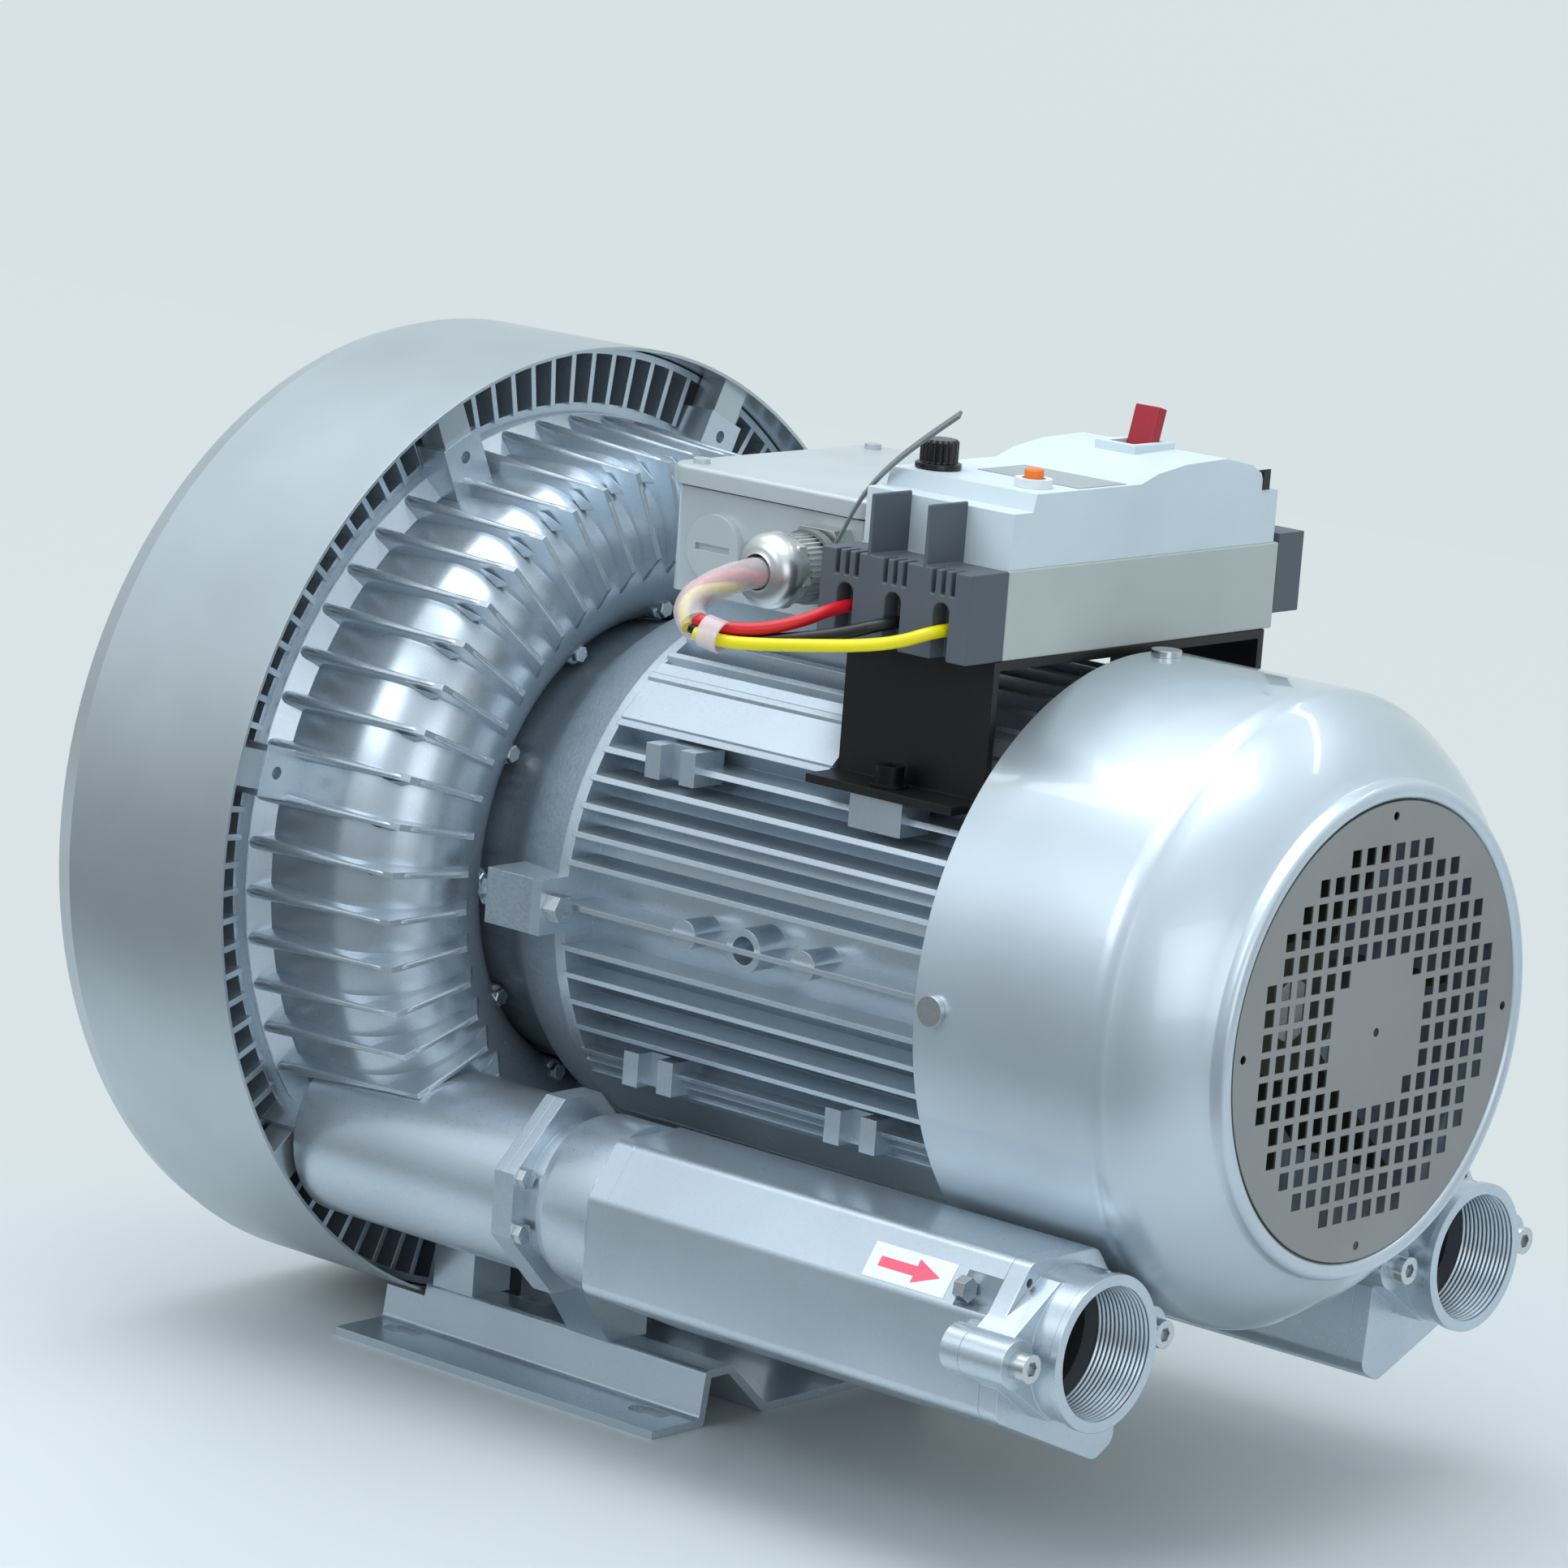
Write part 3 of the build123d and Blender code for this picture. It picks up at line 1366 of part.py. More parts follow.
with BuildPart() as box_lid:
    with BuildSketch(level(box_top + gasket)):
        with Locations((box_centre_x, box_centre_y)):
            RectangleRounded(box_length + 2 * lid_overhang, box_width + 2 * lid_overhang, lid_corner)
    extrude(amount=lid_height)
    fillet(faces().sort_by(Axis.Z)[-1].edges(), 2)
    with BuildSketch(level(box_top + gasket)):
        with Locations((box_centre_x, box_centre_y)):
            Rectangle(box_length - 4 * box_wall, box_width - 4 * box_wall)
            with GridLocations(post_pitch_x, post_pitch_y, 2, 2):
                Rectangle(3 * box_post, 3 * box_post, mode=Mode.SUBTRACT)
    extrude(amount=lid_height - 3, mode=Mode.SUBTRACT)
    with BuildSketch(level(box_top + gasket)):
        with Locations((box_centre_x, box_centre_y)):
            with GridLocations(post_pitch_x, post_pitch_y, 2, 2):
                Circle(lid_screw)
    extrude(amount=lid_height, mode=Mode.SUBTRACT)
box_lid.part.label = "box_lid"
export_step(box_lid.part, "parts/box_lid.step")

lid_top = box_top + gasket + lid_height
with BuildPart() as lid_screws:
    with BuildSketch(level(lid_top)):
        with Locations((box_centre_x, box_centre_y)):
            with GridLocations(post_pitch_x, post_pitch_y, 2, 2):
                Circle(lid_screw)
    extrude(amount=-lid_height - 10)
    with BuildSketch(level(lid_top)):
        with Locations((box_centre_x, box_centre_y)):
            with GridLocations(post_pitch_x, post_pitch_y, 2, 2):
                Circle(2 * lid_screw)
    extrude(amount=1.2 * lid_screw)
    with BuildSketch(level(lid_top + 1.2 * lid_screw)):
        with Locations((box_centre_x, box_centre_y)):
            with GridLocations(post_pitch_x, post_pitch_y, 2, 2):
                Rectangle(3 * lid_screw, 0.9)
    extrude(amount=-1, mode=Mode.SUBTRACT)
lid_screws.part.label = "lid_screws"
export_step(lid_screws.part, "parts/lid_screws.step")

with BuildPart() as terminal_board:
    with BuildSketch(level(pedestal_top + box_wall)):
        with Locations((box_centre_x, 0)):
            Rectangle(board_length, board_width)
    extrude(amount=board_height)
    with BuildSketch(level(pedestal_top + box_wall + board_height)):
        with Locations((box_centre_x, 0)):
            with GridLocations(terminal_pitch, terminal_pitch, 3, 2):
                Circle(terminal_radius)
    extrude(amount=board_height)
terminal_board.part.label = "terminal_board"
export_step(terminal_board.part, "parts/terminal_board.step")

# Cable gland and blind plug in the near wall of the box
with BuildPart() as gland_body:
    with BuildSketch(facing(box_front_y)):
        with Locations((gland_x, gland_z)):
            Circle(gland_thread)
            Circle(sleeve_diameter / 2, mode=Mode.SUBTRACT)
    extrude(amount=-box_wall)
    with BuildSketch(facing(box_front_y)):
        with Locations((gland_x, gland_z)):
            RegularPolygon(gland_hex, 6)
            Circle(sleeve_diameter / 2, mode=Mode.SUBTRACT)
    extrude(amount=gland_hex_depth)
gland_body.part.label = "gland_body"
export_step(gland_body.part, "parts/gland_body.step")

gland_face_y = box_front_y - gland_hex_depth
gland_reach = gland_face_y - gland_nose_y
gland_axis = Axis((rim_x + gland_x, 0, axis_height + gland_z), (0, 1, 0))
with BuildPart() as gland_nut:
    with BuildSketch(Plane(gland_axis.position, x_dir=(0, -1, 0), z_dir=(1, 0, 0))):
        Polygon(
            (-gland_face_y, 0),
            (-gland_face_y, gland_radius),
            (-gland_nose_y - 14, gland_radius),
            (-gland_nose_y - 4, gland_nose_radius + 3),
            (-gland_nose_y, gland_nose_radius),
            (-gland_nose_y, gland_opening),
            (-gland_nose_y - gland_bore_depth, gland_opening),
            (-gland_nose_y - gland_bore_depth, 0),
            align=None,
        )
    revolve(axis=gland_axis)
gland_nut.part.label = "gland_nut"
export_step(gland_nut.part, "parts/gland_nut.step")

with BuildPart() as blind_plug:
    with BuildSketch(facing(box_front_y)):
        with Locations((plug_x, plug_z)):
            Circle(plug_thread)
    extrude(amount=-box_wall - 2)
    with BuildSketch(facing(box_front_y)):
        with Locations((plug_x, plug_z)):
            Circle(plug_radius)
    extrude(amount=plug_thickness)
    with BuildSketch(facing(box_front_y - plug_thickness)):
        with Locations((plug_x, plug_z)):
            Rectangle(1.3 * plug_radius, 3)
    extrude(amount=-plug_thickness / 2, mode=Mode.SUBTRACT)
blind_plug.part.label = "blind_plug"
export_step(blind_plug.part, "parts/blind_plug.step")

# Starter bracket, a bent plate over the motor frame
with BuildPart() as starter_bracket:
    with BuildSketch(station(bracket_x)):
        Polygon(
            (0, bracket_top),
            (bracket_leg_y, bracket_top),
            (bracket_leg_y, seat_top + bracket_sheet),
            (bracket_foot_y, seat_top + bracket_sheet),
            (bracket_foot_y, seat_top),
            (bracket_leg_y - bracket_sheet, seat_top),
            (bracket_leg_y - bracket_sheet, bracket_top - bracket_sheet),
            (0, bracket_top - bracket_sheet),
            align=None,
        )
        mirror(about=Plane.YZ)
    extrude(amount=bracket_width)
    with BuildSketch(level(seat_top)):
        for side in (-1, 1):
            with Locations((bracket_screw_x, side * bracket_screw_y)):
                Circle(bracket_screw)
    extrude(amount=bracket_sheet, mode=Mode.SUBTRACT)
starter_bracket.part.label = "starter_bracket"
export_step(starter_bracket.part, "parts/starter_bracket.step")

with BuildPart() as bracket_screws:
    for side in (-1, 1):
        with BuildSketch(level(seat_top + bracket_sheet)):
            with Locations((bracket_screw_x, side * bracket_screw_y)):
                Circle(bracket_screw)
        extrude(amount=-bracket_sheet - 12)
        with BuildSketch(level(seat_top + bracket_sheet)):
            with Locations((bracket_screw_x, side * bracket_screw_y)):
                Circle(2.2 * bracket_screw)
        extrude(amount=1.6)
        with BuildSketch(level(seat_top + bracket_sheet + 1.6)):
            with Locations((bracket_screw_x, side * bracket_screw_y)):
                Circle(1.6 * bracket_screw)
                RegularPolygon(0.85 * bracket_screw, 6, mode=Mode.SUBTRACT)
        extrude(amount=2 * bracket_screw)
bracket_screws.part.label = "bracket_screws"
export_step(bracket_screws.part, "parts/bracket_screws.step")

# Starter housing: base tray, output and input blocks, hollow cover
starter_centre_x = starter_x + starter_width / 2
base_centre_y = (base_front_y + base_back_y) / 2
with BuildPart() as starter_base:
    with BuildSketch(level(bracket_top)):
        with Locations((starter_centre_x, base_centre_y)):
            Rectangle(starter_width, base_back_y - base_front_y)
    extrude(amount=base_top - bracket_top)
    with BuildSketch(level(bracket_top + base_wall)):
        with Locations((starter_centre_x, base_centre_y)):
            Rectangle(starter_width - 2 * base_wall, base_back_y - base_front_y - 2 * base_wall)
    extrude(amount=base_top - bracket_top, mode=Mode.SUBTRACT)
starter_base.part.label = "starter_base"
export_step(starter_base.part, "parts/starter_base.step")

port_places_x = [port_x + port_pitch * number for number in range(port_count)]
with BuildPart() as output_block:
    with BuildSketch(facing(base_front_y)):
        with Locations((starter_centre_x, bracket_top)):
            Rectangle(starter_width, base_top - bracket_top, align=(Align.CENTER, Align.MIN))
    extrude(amount=base_front_y - output_y)
    with BuildSketch(facing(output_y)):
        for x in port_places_x:
            with Locations((x, port_arch)):
                Circle(port_width / 2)
                Rectangle(port_width, port_arch - bracket_top, align=(Align.CENTER, Align.MAX))
    extrude(amount=-port_depth, mode=Mode.SUBTRACT)
    with BuildSketch(facing(output_y)):
        for x in port_places_x:
            for number in (-1, 0, 1):
                with Locations((x + number * groove_pitch, groove_bottom)):
                    Rectangle(groove_width, base_top - groove_bottom, align=(Align.CENTER, Align.MIN))
    extrude(amount=-port_depth, mode=Mode.SUBTRACT)
    with BuildSketch(facing(base_front_y)):
        for side in (-1, 1):
            with Locations((starter_centre_x + side * barrier_offset, base_top)):
                Rectangle(barrier_thickness, barrier_top - base_top, align=(Align.CENTER, Align.MIN))
    extrude(amount=base_front_y - output_y)
output_block.part.label = "output_block"
export_step(output_block.part, "parts/output_block.step")

with BuildPart() as input_block:
    with BuildSketch(facing(input_end_y)):
        with Locations((starter_centre_x, input_bottom)):
            Rectangle(starter_width, input_top - input_bottom, align=(Align.CENTER, Align.MIN))
    extrude(amount=input_end_y - base_back_y)
    with BuildSketch(facing(input_end_y)):
        for x in port_places_x:
            with Locations((x, (input_top + input_bottom) / 2)):
                Circle(port_width / 2)
    extrude(amount=port_depth, mode=Mode.SUBTRACT)
input_block.part.label = "input_block"
export_step(input_block.part, "parts/input_block.step")

cover_width = starter_width - 2 * cover_inset
with BuildPart() as starter_cover:
    with BuildSketch(station(starter_x + cover_inset)):
        Polygon(*cover_outline, align=None)
    extrude(amount=cover_width)
    with BuildSketch(level(bezel_top)):
        with Locations((handle_x, handle_y)):
            Rectangle(handle_width + 2 * bezel_rim, 2 * (handle_slot + bezel_rim))
    extrude(amount=-6)
    with BuildSketch(station(starter_x + cover_inset + cover_wall)):
        Polygon(*cover_outline, align=None)
        offset(amount=-cover_wall)
        with Locations((0, base_top)):
            Rectangle(2 * (base_back_y - 20), 4)
    extrude(amount=cover_width - 2 * cover_wall, mode=Mode.SUBTRACT)
    for side in (-1, 1):
        with BuildSketch(station(handle_x + side * (handle_width / 2 + free_gap + cheek / 2))):
            with Locations((handle_y, handle_pivot_z)):
                Rectangle(2.4 * handle_hub, bezel_top - 5 - handle_pivot_z, align=(Align.CENTER, Align.MIN))
                Circle(1.2 * handle_hub)
        extrude(amount=cheek / 2, both=True)
    with BuildSketch(level(bezel_top)):
        with Locations((handle_x, handle_y)):
            Rectangle(handle_width + 2 * free_gap, 2 * handle_slot)
    extrude(amount=-14, mode=Mode.SUBTRACT)
    with BuildSketch(station(handle_x)):
        with Locations((handle_y, handle_pivot_z)):
            Circle(handle_pin + running_gap)
    extrude(amount=handle_width / 2 + free_gap + cheek, both=True, mode=Mode.SUBTRACT)
    with BuildSketch(level(plateau_top)):
        with Locations((knob_x, knob_y)):
            Circle(knob_pin + running_gap)
        with Locations((button_x, knob_y)):
            Circle(button_radius + running_gap)
    extrude(amount=-cover_wall - 1, mode=Mode.SUBTRACT)
starter_cover.part.label = "starter_cover"
export_step(starter_cover.part, "parts/starter_cover.step")

# Current knob, test button and rocker handle
with BuildPart() as current_knob:
    with BuildSketch(level(plateau_top + free_gap)):
        with Locations((knob_x, knob_y)):
            Circle(knob_skirt)
    extrude(amount=knob_skirt_height)
    with BuildSketch(level(plateau_top + free_gap)):
        with Locations((knob_x, knob_y)):
            Circle(knob_radius)
    extrude(amount=knob_height)
    with BuildSketch(level(plateau_top + knob_height)):
        with Locations((knob_x, knob_y)):
            Rectangle(2 * knob_radius, 2.5)
    extrude(amount=3, mode=Mode.SUBTRACT)
    with BuildSketch(level(plateau_top + free_gap)):
        with Locations((knob_x, knob_y)):
            Circle(knob_pin)
    extrude(amount=-cover_wall - 4)
    with BuildSketch(level(plateau_top - cover_wall - free_gap)):
        with Locations((knob_x, knob_y)):
            Circle(2 * knob_pin)
    extrude(amount=-2)
current_knob.part.label = "current_knob"
export_step(current_knob.part, "parts/current_knob.step")

with BuildPart() as button_collar:
    with BuildSketch(level(plateau_top)):
        with Locations((button_x, knob_y)):
            Circle(collar_outer)
            Circle(button_radius + running_gap, mode=Mode.SUBTRACT)
    extrude(amount=collar_height)
button_collar.part.label = "button_collar"
export_step(button_collar.part, "parts/button_collar.step")

with BuildPart() as test_button:
    with BuildSketch(level(plateau_top + collar_height + button_travel + 0.5)):
        with Locations((button_x, knob_y)):
            Circle(button_radius)
    extrude(amount=-collar_height - button_travel - cover_wall - 4)
    with BuildSketch(level(plateau_top - cover_wall - free_gap)):
        with Locations((button_x, knob_y)):
            Circle(button_flange)
    extrude(amount=-2)
test_button.part.label = "test_button"
export_step(test_button.part, "parts/test_button.step")

with BuildPart() as handle:
    with BuildSketch(station(handle_x)):
        with Locations(Location((handle_y, handle_pivot_z), -handle_lean)):
            Rectangle(handle_thickness, handle_length, align=(Align.CENTER, Align.MIN))
            Circle(handle_hub)
    extrude(amount=handle_width / 2, both=True)
    with BuildSketch(station(handle_x)):
        with Locations((handle_y, handle_pivot_z)):
            Circle(handle_pin)
    extrude(amount=handle_width / 2 + free_gap + cheek - 0.5, both=True)
handle.part.label = "handle"
export_step(handle.part, "parts/handle.step")

# Cable sleeve and its three wires
sleeve_points = [on_part(place) for place in sleeve_route]
sleeve_radii = turn_radii(sleeve_points)
print("wire_sleeve radii", [round(radius, 1) for radius in sleeve_radii])
with BuildPart() as wire_sleeve:
    with BuildLine() as sleeve_path:
        FilletPolyline(*sleeve_points, radius=sleeve_radii)
    with BuildSketch(Plane(sleeve_path.line @ 0, z_dir=sleeve_path.line % 0)):
        Circle(sleeve_diameter / 2)
    sweep(path=sleeve_path.line)
wire_sleeve.part.label = "wire_sleeve"
export_step(wire_sleeve.part, "parts/wire_sleeve.step")

sleeve_end = Plane(sleeve_path.line @ 1, x_dir=(-0.75, 0.66, 0), z_dir=sleeve_path.line % 1)
leads = [sleeve_end.from_local_coords(Vector(x, y, 0)) for x, y in lead_offsets]
exits = [sleeve_end.from_local_coords(Vector(x, y, lead_out)) for x, y in lead_offsets]

red_points = [leads[0], exits[0]] + [on_part(place) for place in red_route]
red_radii = turn_radii(red_points)
print("wire_red radii", [round(radius, 1) for radius in red_radii])
with BuildPart() as wire_red:
    with BuildLine() as red_path:
        FilletPolyline(*red_points, radius=red_radii)
    with BuildSketch(Plane(red_path.line @ 0, z_dir=red_path.line % 0)):
        Circle(wire_diameter / 2)
    sweep(path=red_path.line)
wire_red.part.label = "wire_red"
export_step(wire_red.part, "parts/wire_red.step")

black_points = [leads[1], exits[1]] + [on_part(place) for place in black_route]
black_radii = turn_radii(black_points)
print("wire_black radii", [round(radius, 1) for radius in black_radii])
with BuildPart() as wire_black:
    with BuildLine() as black_path:
        FilletPolyline(*black_points, radius=black_radii)
    with BuildSketch(Plane(black_path.line @ 0, z_dir=black_path.line % 0)):
        Circle(wire_diameter / 2)
    sweep(path=black_path.line)
wire_black.part.label = "wire_black"
export_step(wire_black.part, "parts/wire_black.step")

yellow_points = [leads[2], exits[2]] + [on_part(place) for place in yellow_route]
yellow_radii = turn_radii(yellow_points)
print("wire_yellow radii", [round(radius, 1) for radius in yellow_radii])
with BuildPart() as wire_yellow:
    with BuildLine() as yellow_path:
        FilletPolyline(*yellow_points, radius=yellow_radii)
    with BuildSketch(Plane(yellow_path.line @ 0, z_dir=yellow_path.line % 0)):
        Circle(wire_diameter / 2)
    sweep(path=yellow_path.line)
wire_yellow.part.label = "wire_yellow"
export_step(wire_yellow.part, "parts/wire_yellow.step")

with BuildPart() as wire_band:
    with BuildSketch(sleeve_end.offset(band_start)):
        Circle(band_outer)
        Circle(band_inner, mode=Mode.SUBTRACT)
    extrude(amount=band_length)
wire_band.part.label = "wire_band"
export_step(wire_band.part, "parts/wire_band.step")
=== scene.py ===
"""Side channel blower in silver paint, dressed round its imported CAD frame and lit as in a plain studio."""

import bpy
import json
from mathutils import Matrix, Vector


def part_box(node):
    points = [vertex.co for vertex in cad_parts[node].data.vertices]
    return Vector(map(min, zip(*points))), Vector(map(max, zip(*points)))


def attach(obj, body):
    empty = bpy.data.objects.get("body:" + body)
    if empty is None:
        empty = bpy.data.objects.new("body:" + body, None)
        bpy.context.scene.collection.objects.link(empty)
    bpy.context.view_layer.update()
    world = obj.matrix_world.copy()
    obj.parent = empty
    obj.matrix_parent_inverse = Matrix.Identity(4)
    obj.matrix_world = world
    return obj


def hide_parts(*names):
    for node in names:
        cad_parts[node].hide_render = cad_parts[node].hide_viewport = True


bl_info = {
    "name": "Side Channel Blower",
    "version": (1, 0, 0),
    "blender": (4, 5, 0),
    "location": "View3D > Sidebar > Blower",
    "description": "Builds the finished surfaces of a side channel blower round its CAD frame",
    "category": "Add Mesh",
}

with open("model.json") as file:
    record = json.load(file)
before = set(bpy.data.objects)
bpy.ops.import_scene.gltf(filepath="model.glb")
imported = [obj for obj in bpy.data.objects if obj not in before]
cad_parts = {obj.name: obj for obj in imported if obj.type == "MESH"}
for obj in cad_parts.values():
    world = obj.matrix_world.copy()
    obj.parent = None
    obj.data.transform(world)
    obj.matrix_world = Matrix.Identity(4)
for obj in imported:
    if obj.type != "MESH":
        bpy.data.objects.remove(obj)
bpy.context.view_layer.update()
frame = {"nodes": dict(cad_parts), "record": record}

import json
import math

import bmesh
import bpy
from bpy.props import FloatProperty, FloatVectorProperty, IntProperty, PointerProperty
from mathutils import Matrix, Vector

nodes = frame["nodes"]

MM = 0.001
RIM_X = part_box("drum_cowl")[1].x
SHAFT_Z = (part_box("drum_cowl")[0].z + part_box("drum_cowl")[1].z) / 2
ALONG_SHAFT = (1, 0, 0)
UPWARDS = (0, 0, 1)
MERGE_DISTANCE = 0.002 * MM

# Places that several operators share, in mm from the drum's rim and from the shaft
CHANNEL_X, CHANNEL_RADIUS = 24, 149
GLAND_PLACE, GLAND_WAY = (206, 0, 167.5), (0, -1, 0)

# The camera that was fitted to the photograph
PHOTO_PIXELS, FOCAL_PIXELS = 1932, 7796
CAMERA_PLACE = (1.94085, -2.22817, 0.85095)
CAMERA_AZIMUTH, CAMERA_ELEVATION, CAMERA_ROLL = (math.radians(v) for v in (40.286, 10.922, 4.416))


# ---------------------------------------------------------------- places
def at(x, y, z):
    """A place in mm along the shaft from the drum's rim, across it and above it, as a point of the frame."""
    return Vector((RIM_X + x * MM, y * MM, SHAFT_Z + z * MM))


def arc(x, r, radius, start, end, steps):
    """Points of a turned profile on a round stretch, its angles from +X."""
    turns = [math.radians(start + (end - start) * n / steps) for n in range(steps + 1)]
    return [(x + radius * math.cos(t), r + radius * math.sin(t)) for t in turns]


# ---------------------------------------------------------------- finishes
def srgb(code):
    """An sRGB hex value as the linear colour that a shader socket takes."""
    parts = [int(code[i : i + 2], 16) / 255 for i in (1, 3, 5)]
    return tuple(c / 12.92 if c <= 0.04045 else ((c + 0.055) / 1.055) ** 2.4 for c in parts) + (1.0,)


def add_node(tree, kind, settings=None, links=None, **inputs):
    """Adds one node, sets its properties and sockets, and links sockets of earlier nodes into it."""
    made = tree.nodes.new(kind)
    for name, value in (settings or {}).items():
        setattr(made, name, value)
    for name, value in inputs.items():
        made.inputs[name.replace("_", " ")].default_value = value
    for name, source in (links or {}).items():
        tree.links.new(source, made.inputs[name])
    return made


def remapped(tree, source, low, high, to_low, to_high, **settings):
    """A value whose stretch from low to high is moved to another stretch."""
    return add_node(tree, "ShaderNodeMapRange", settings, {"Value": source}, From_Min=low, From_Max=high,
                    To_Min=to_low, To_Max=to_high).outputs["Result"]


def combined(tree, operation, one, two):
    """Two values put together by a Math node."""
    return add_node(tree, "ShaderNodeMath", {"operation": operation}, {0: one, 1: two}).outputs["Value"]


finishes = {}


def surface(key, name, colour, metallic, roughness, grain_mm, bump, speck=0.0, coat=0.0, edge_mm=0.5,
            variation=0.06, alpha=1.0):
    """Files a painted, cast, turned or moulded surface: grain in its colour, roughness and relief, edges broken."""
    material = bpy.data.materials.new(name)
    material.use_nodes = True
    tree = material.node_tree
    tree.nodes.clear()
    out = add_node(tree, "ShaderNodeOutputMaterial")
    place = add_node(tree, "ShaderNodeTexCoord").outputs["Object"]
    fine = add_node(tree, "ShaderNodeTexNoise", links={"Vector": place}, Scale=1 / (grain_mm * MM), Detail=3.0)
    broad = add_node(tree, "ShaderNodeTexNoise", links={"Vector": place}, Scale=14.0, Detail=2.0)
    blotch = remapped(tree, broad.outputs["Fac"], 0.3, 0.7, 1 - variation, 1 + variation)
    speckle = remapped(tree, fine.outputs["Fac"], 0.35, 0.65, 1 - speck, 1 + speck)
    both = combined(tree, "MULTIPLY", blotch, speckle)
    tint = add_node(tree, "ShaderNodeVectorMath", {"operation": "SCALE"}, {"Scale": both})
    tint.inputs[0].default_value = srgb(colour)[:3]
    rough = remapped(tree, fine.outputs["Fac"], 0.3, 0.7, max(roughness - 0.03, 0.02), roughness + 0.03)
    edge = add_node(tree, "ShaderNodeBevel", {"samples": 4}, Radius=edge_mm * MM)
    relief = add_node(
        tree, "ShaderNodeBump", links={"Height": fine.outputs["Fac"], "Normal": edge.outputs["Normal"]},
        Strength=bump, Distance=grain_mm * MM * 0.4,
    )
    body = add_node(
        tree, "ShaderNodeBsdfPrincipled",
        links={"Base Color": tint.outputs["Vector"], "Roughness": rough,
               "Normal": relief.outputs["Normal"]},
        Metallic=metallic, Coat_Weight=coat, Alpha=alpha,
    )
    body.inputs["Coat Roughness"].default_value = 0.06
    tree.links.new(body.outputs["BSDF"], out.inputs["Surface"])
    finishes[key] = material


def make_finishes():
    """Every finish of the blower, each named for the real material and how its surface was made."""
    # Die-cast aluminium under silver metallic paint: a soft cool sheen, faintly pebbled by the blasted mould
    surface("cast_silver", "diecast_aluminium_silver_paint", "#C3CFD8", 0.78, 0.3, 1.1, 0.012, 0.01, 0.3)
    # The same paint on rough sand-cast metal: grainier and darker
    surface("rough_cast", "sandcast_aluminium_silver_paint", "#AAB6BF", 0.75, 0.42, 1.8, 0.4, 0.06)
    # Steel sheet spun to a cup under metallic paint: broad soft reflections
    surface("drum_sheet", "spun_steel_silver_paint", "#BCC5CA", 0.85, 0.36, 0.6, 0.008, 0.012, 0.1)
    # Pressed steel in glossier metallic paint: a clear gloss lies over the same soft sheen
    surface("cowl_sheet", "pressed_steel_silver_paint", "#C4D0D8", 0.75, 0.36, 0.6, 0.006, 0.01, 0.9)
    # Thin punched steel under a duller coat of it: a flat darker grey
    surface("guard_sheet", "punched_steel_silver_paint", "#999A99", 0.8, 0.4, 0.6, 0.01, 0.02, edge_mm=0.15)
    # Zinc-plated steel: bright and slightly cloudy
    surface("zinc", "zinc_plated_steel", "#CDD2D5", 1.0, 0.26, 0.8, 0.008, 0.015)
    # Steel ground to size: bright, with tight reflections
    surface("ground_steel", "ground_steel", "#B8BBBE", 1.0, 0.22, 0.3, 0.02, 0.03)
    # Nickel-plated brass, turned: bright, with reflections softened by the tool's fine marks
    surface("nickel", "nickel_plated_brass", "#D3D6D6", 1.0, 0.33, 0.5, 0.02, 0.03)
    # Blackened steel: dark, with a dull metal gloss on its edges
    surface("black_oxide", "black_oxide_steel", "#17181A", 0.6, 0.35, 0.4, 0.03, 0.05)
    # Baked powder coat: near black, matt and faintly pebbled
    surface("powder_black", "black_powder_coat", "#08090A", 0.0, 0.45, 0.9, 0.12, 0.05, 0.05)
    # Moulded thermoplastics: a satin face with the fine texture of a spark-eroded mould
    surface("grey_plastic", "moulded_polyamide_slate", "#525A63", 0.0, 0.48, 0.5, 0.08, 0.03)
    surface("light_plastic", "moulded_abs_light_grey", "#CCDAE0", 0.0, 0.42, 0.5, 0.04, 0.01)
    surface("tray_plastic", "moulded_abs_warm_grey", "#B4BDBA", 0.0, 0.45, 0.5, 0.04, 0.01)
    surface("black_plastic", "moulded_polyamide_black", "#0F1012", 0.0, 0.28, 0.4, 0.03, 0.02)
    surface("orange_plastic", "moulded_polycarbonate_orange", "#EC7A26", 0.0, 0.35, 0.4, 0.03, 0.02)
    surface("red_plastic", "moulded_polycarbonate_red", "#9C1428", 0.0, 0.3, 0.4, 0.03, 0.02)
    surface("white_plastic", "moulded_abs_white", "#DDE2E3", 0.0, 0.35, 0.4, 0.03, 0.02)
    surface("tie_plastic", "moulded_nylon_tie_grey", "#6E7478", 0.0, 0.4, 0.4, 0.03, 0.02)
    # Pressed phenolic board: brown and matt
    surface("board", "phenolic_board_brown", "#5D3B24", 0.0, 0.5, 0.6, 0.08, 0.05)
    # Moulded polypropylene: waxy and dull
    surface("fan_plastic", "moulded_polypropylene_olive", "#4C533F", 0.0, 0.5, 0.6, 0.05, 0.03)
    # Silver stove enamel on the terminal box: paler and less metallic than the castings
    surface("box_paint", "terminal_box_silver_enamel", "#C2CACD", 0.4, 0.38, 0.7, 0.05, 0.02, 0.1)
    # Cable jackets in soft vinyl: smooth, with a gentle gloss
    surface("red_wire", "vinyl_jacket_red", "#CE1524", 0.0, 0.3, 0.8, 0.03, 0.02)
    surface("black_wire", "vinyl_jacket_black", "#121315", 0.0, 0.32, 0.8, 0.03, 0.02)
    surface("yellow_wire", "vinyl_jacket_yellow", "#E6D90E", 0.0, 0.32, 0.8, 0.03, 0.02)
    # Clear spiral wrap: milky, the wires inside show through it
    surface("clear_wrap", "clear_polyethylene_wrap", "#E9DEE2", 0.0, 0.28, 0.8, 0.03, 0.01, alpha=0.5)
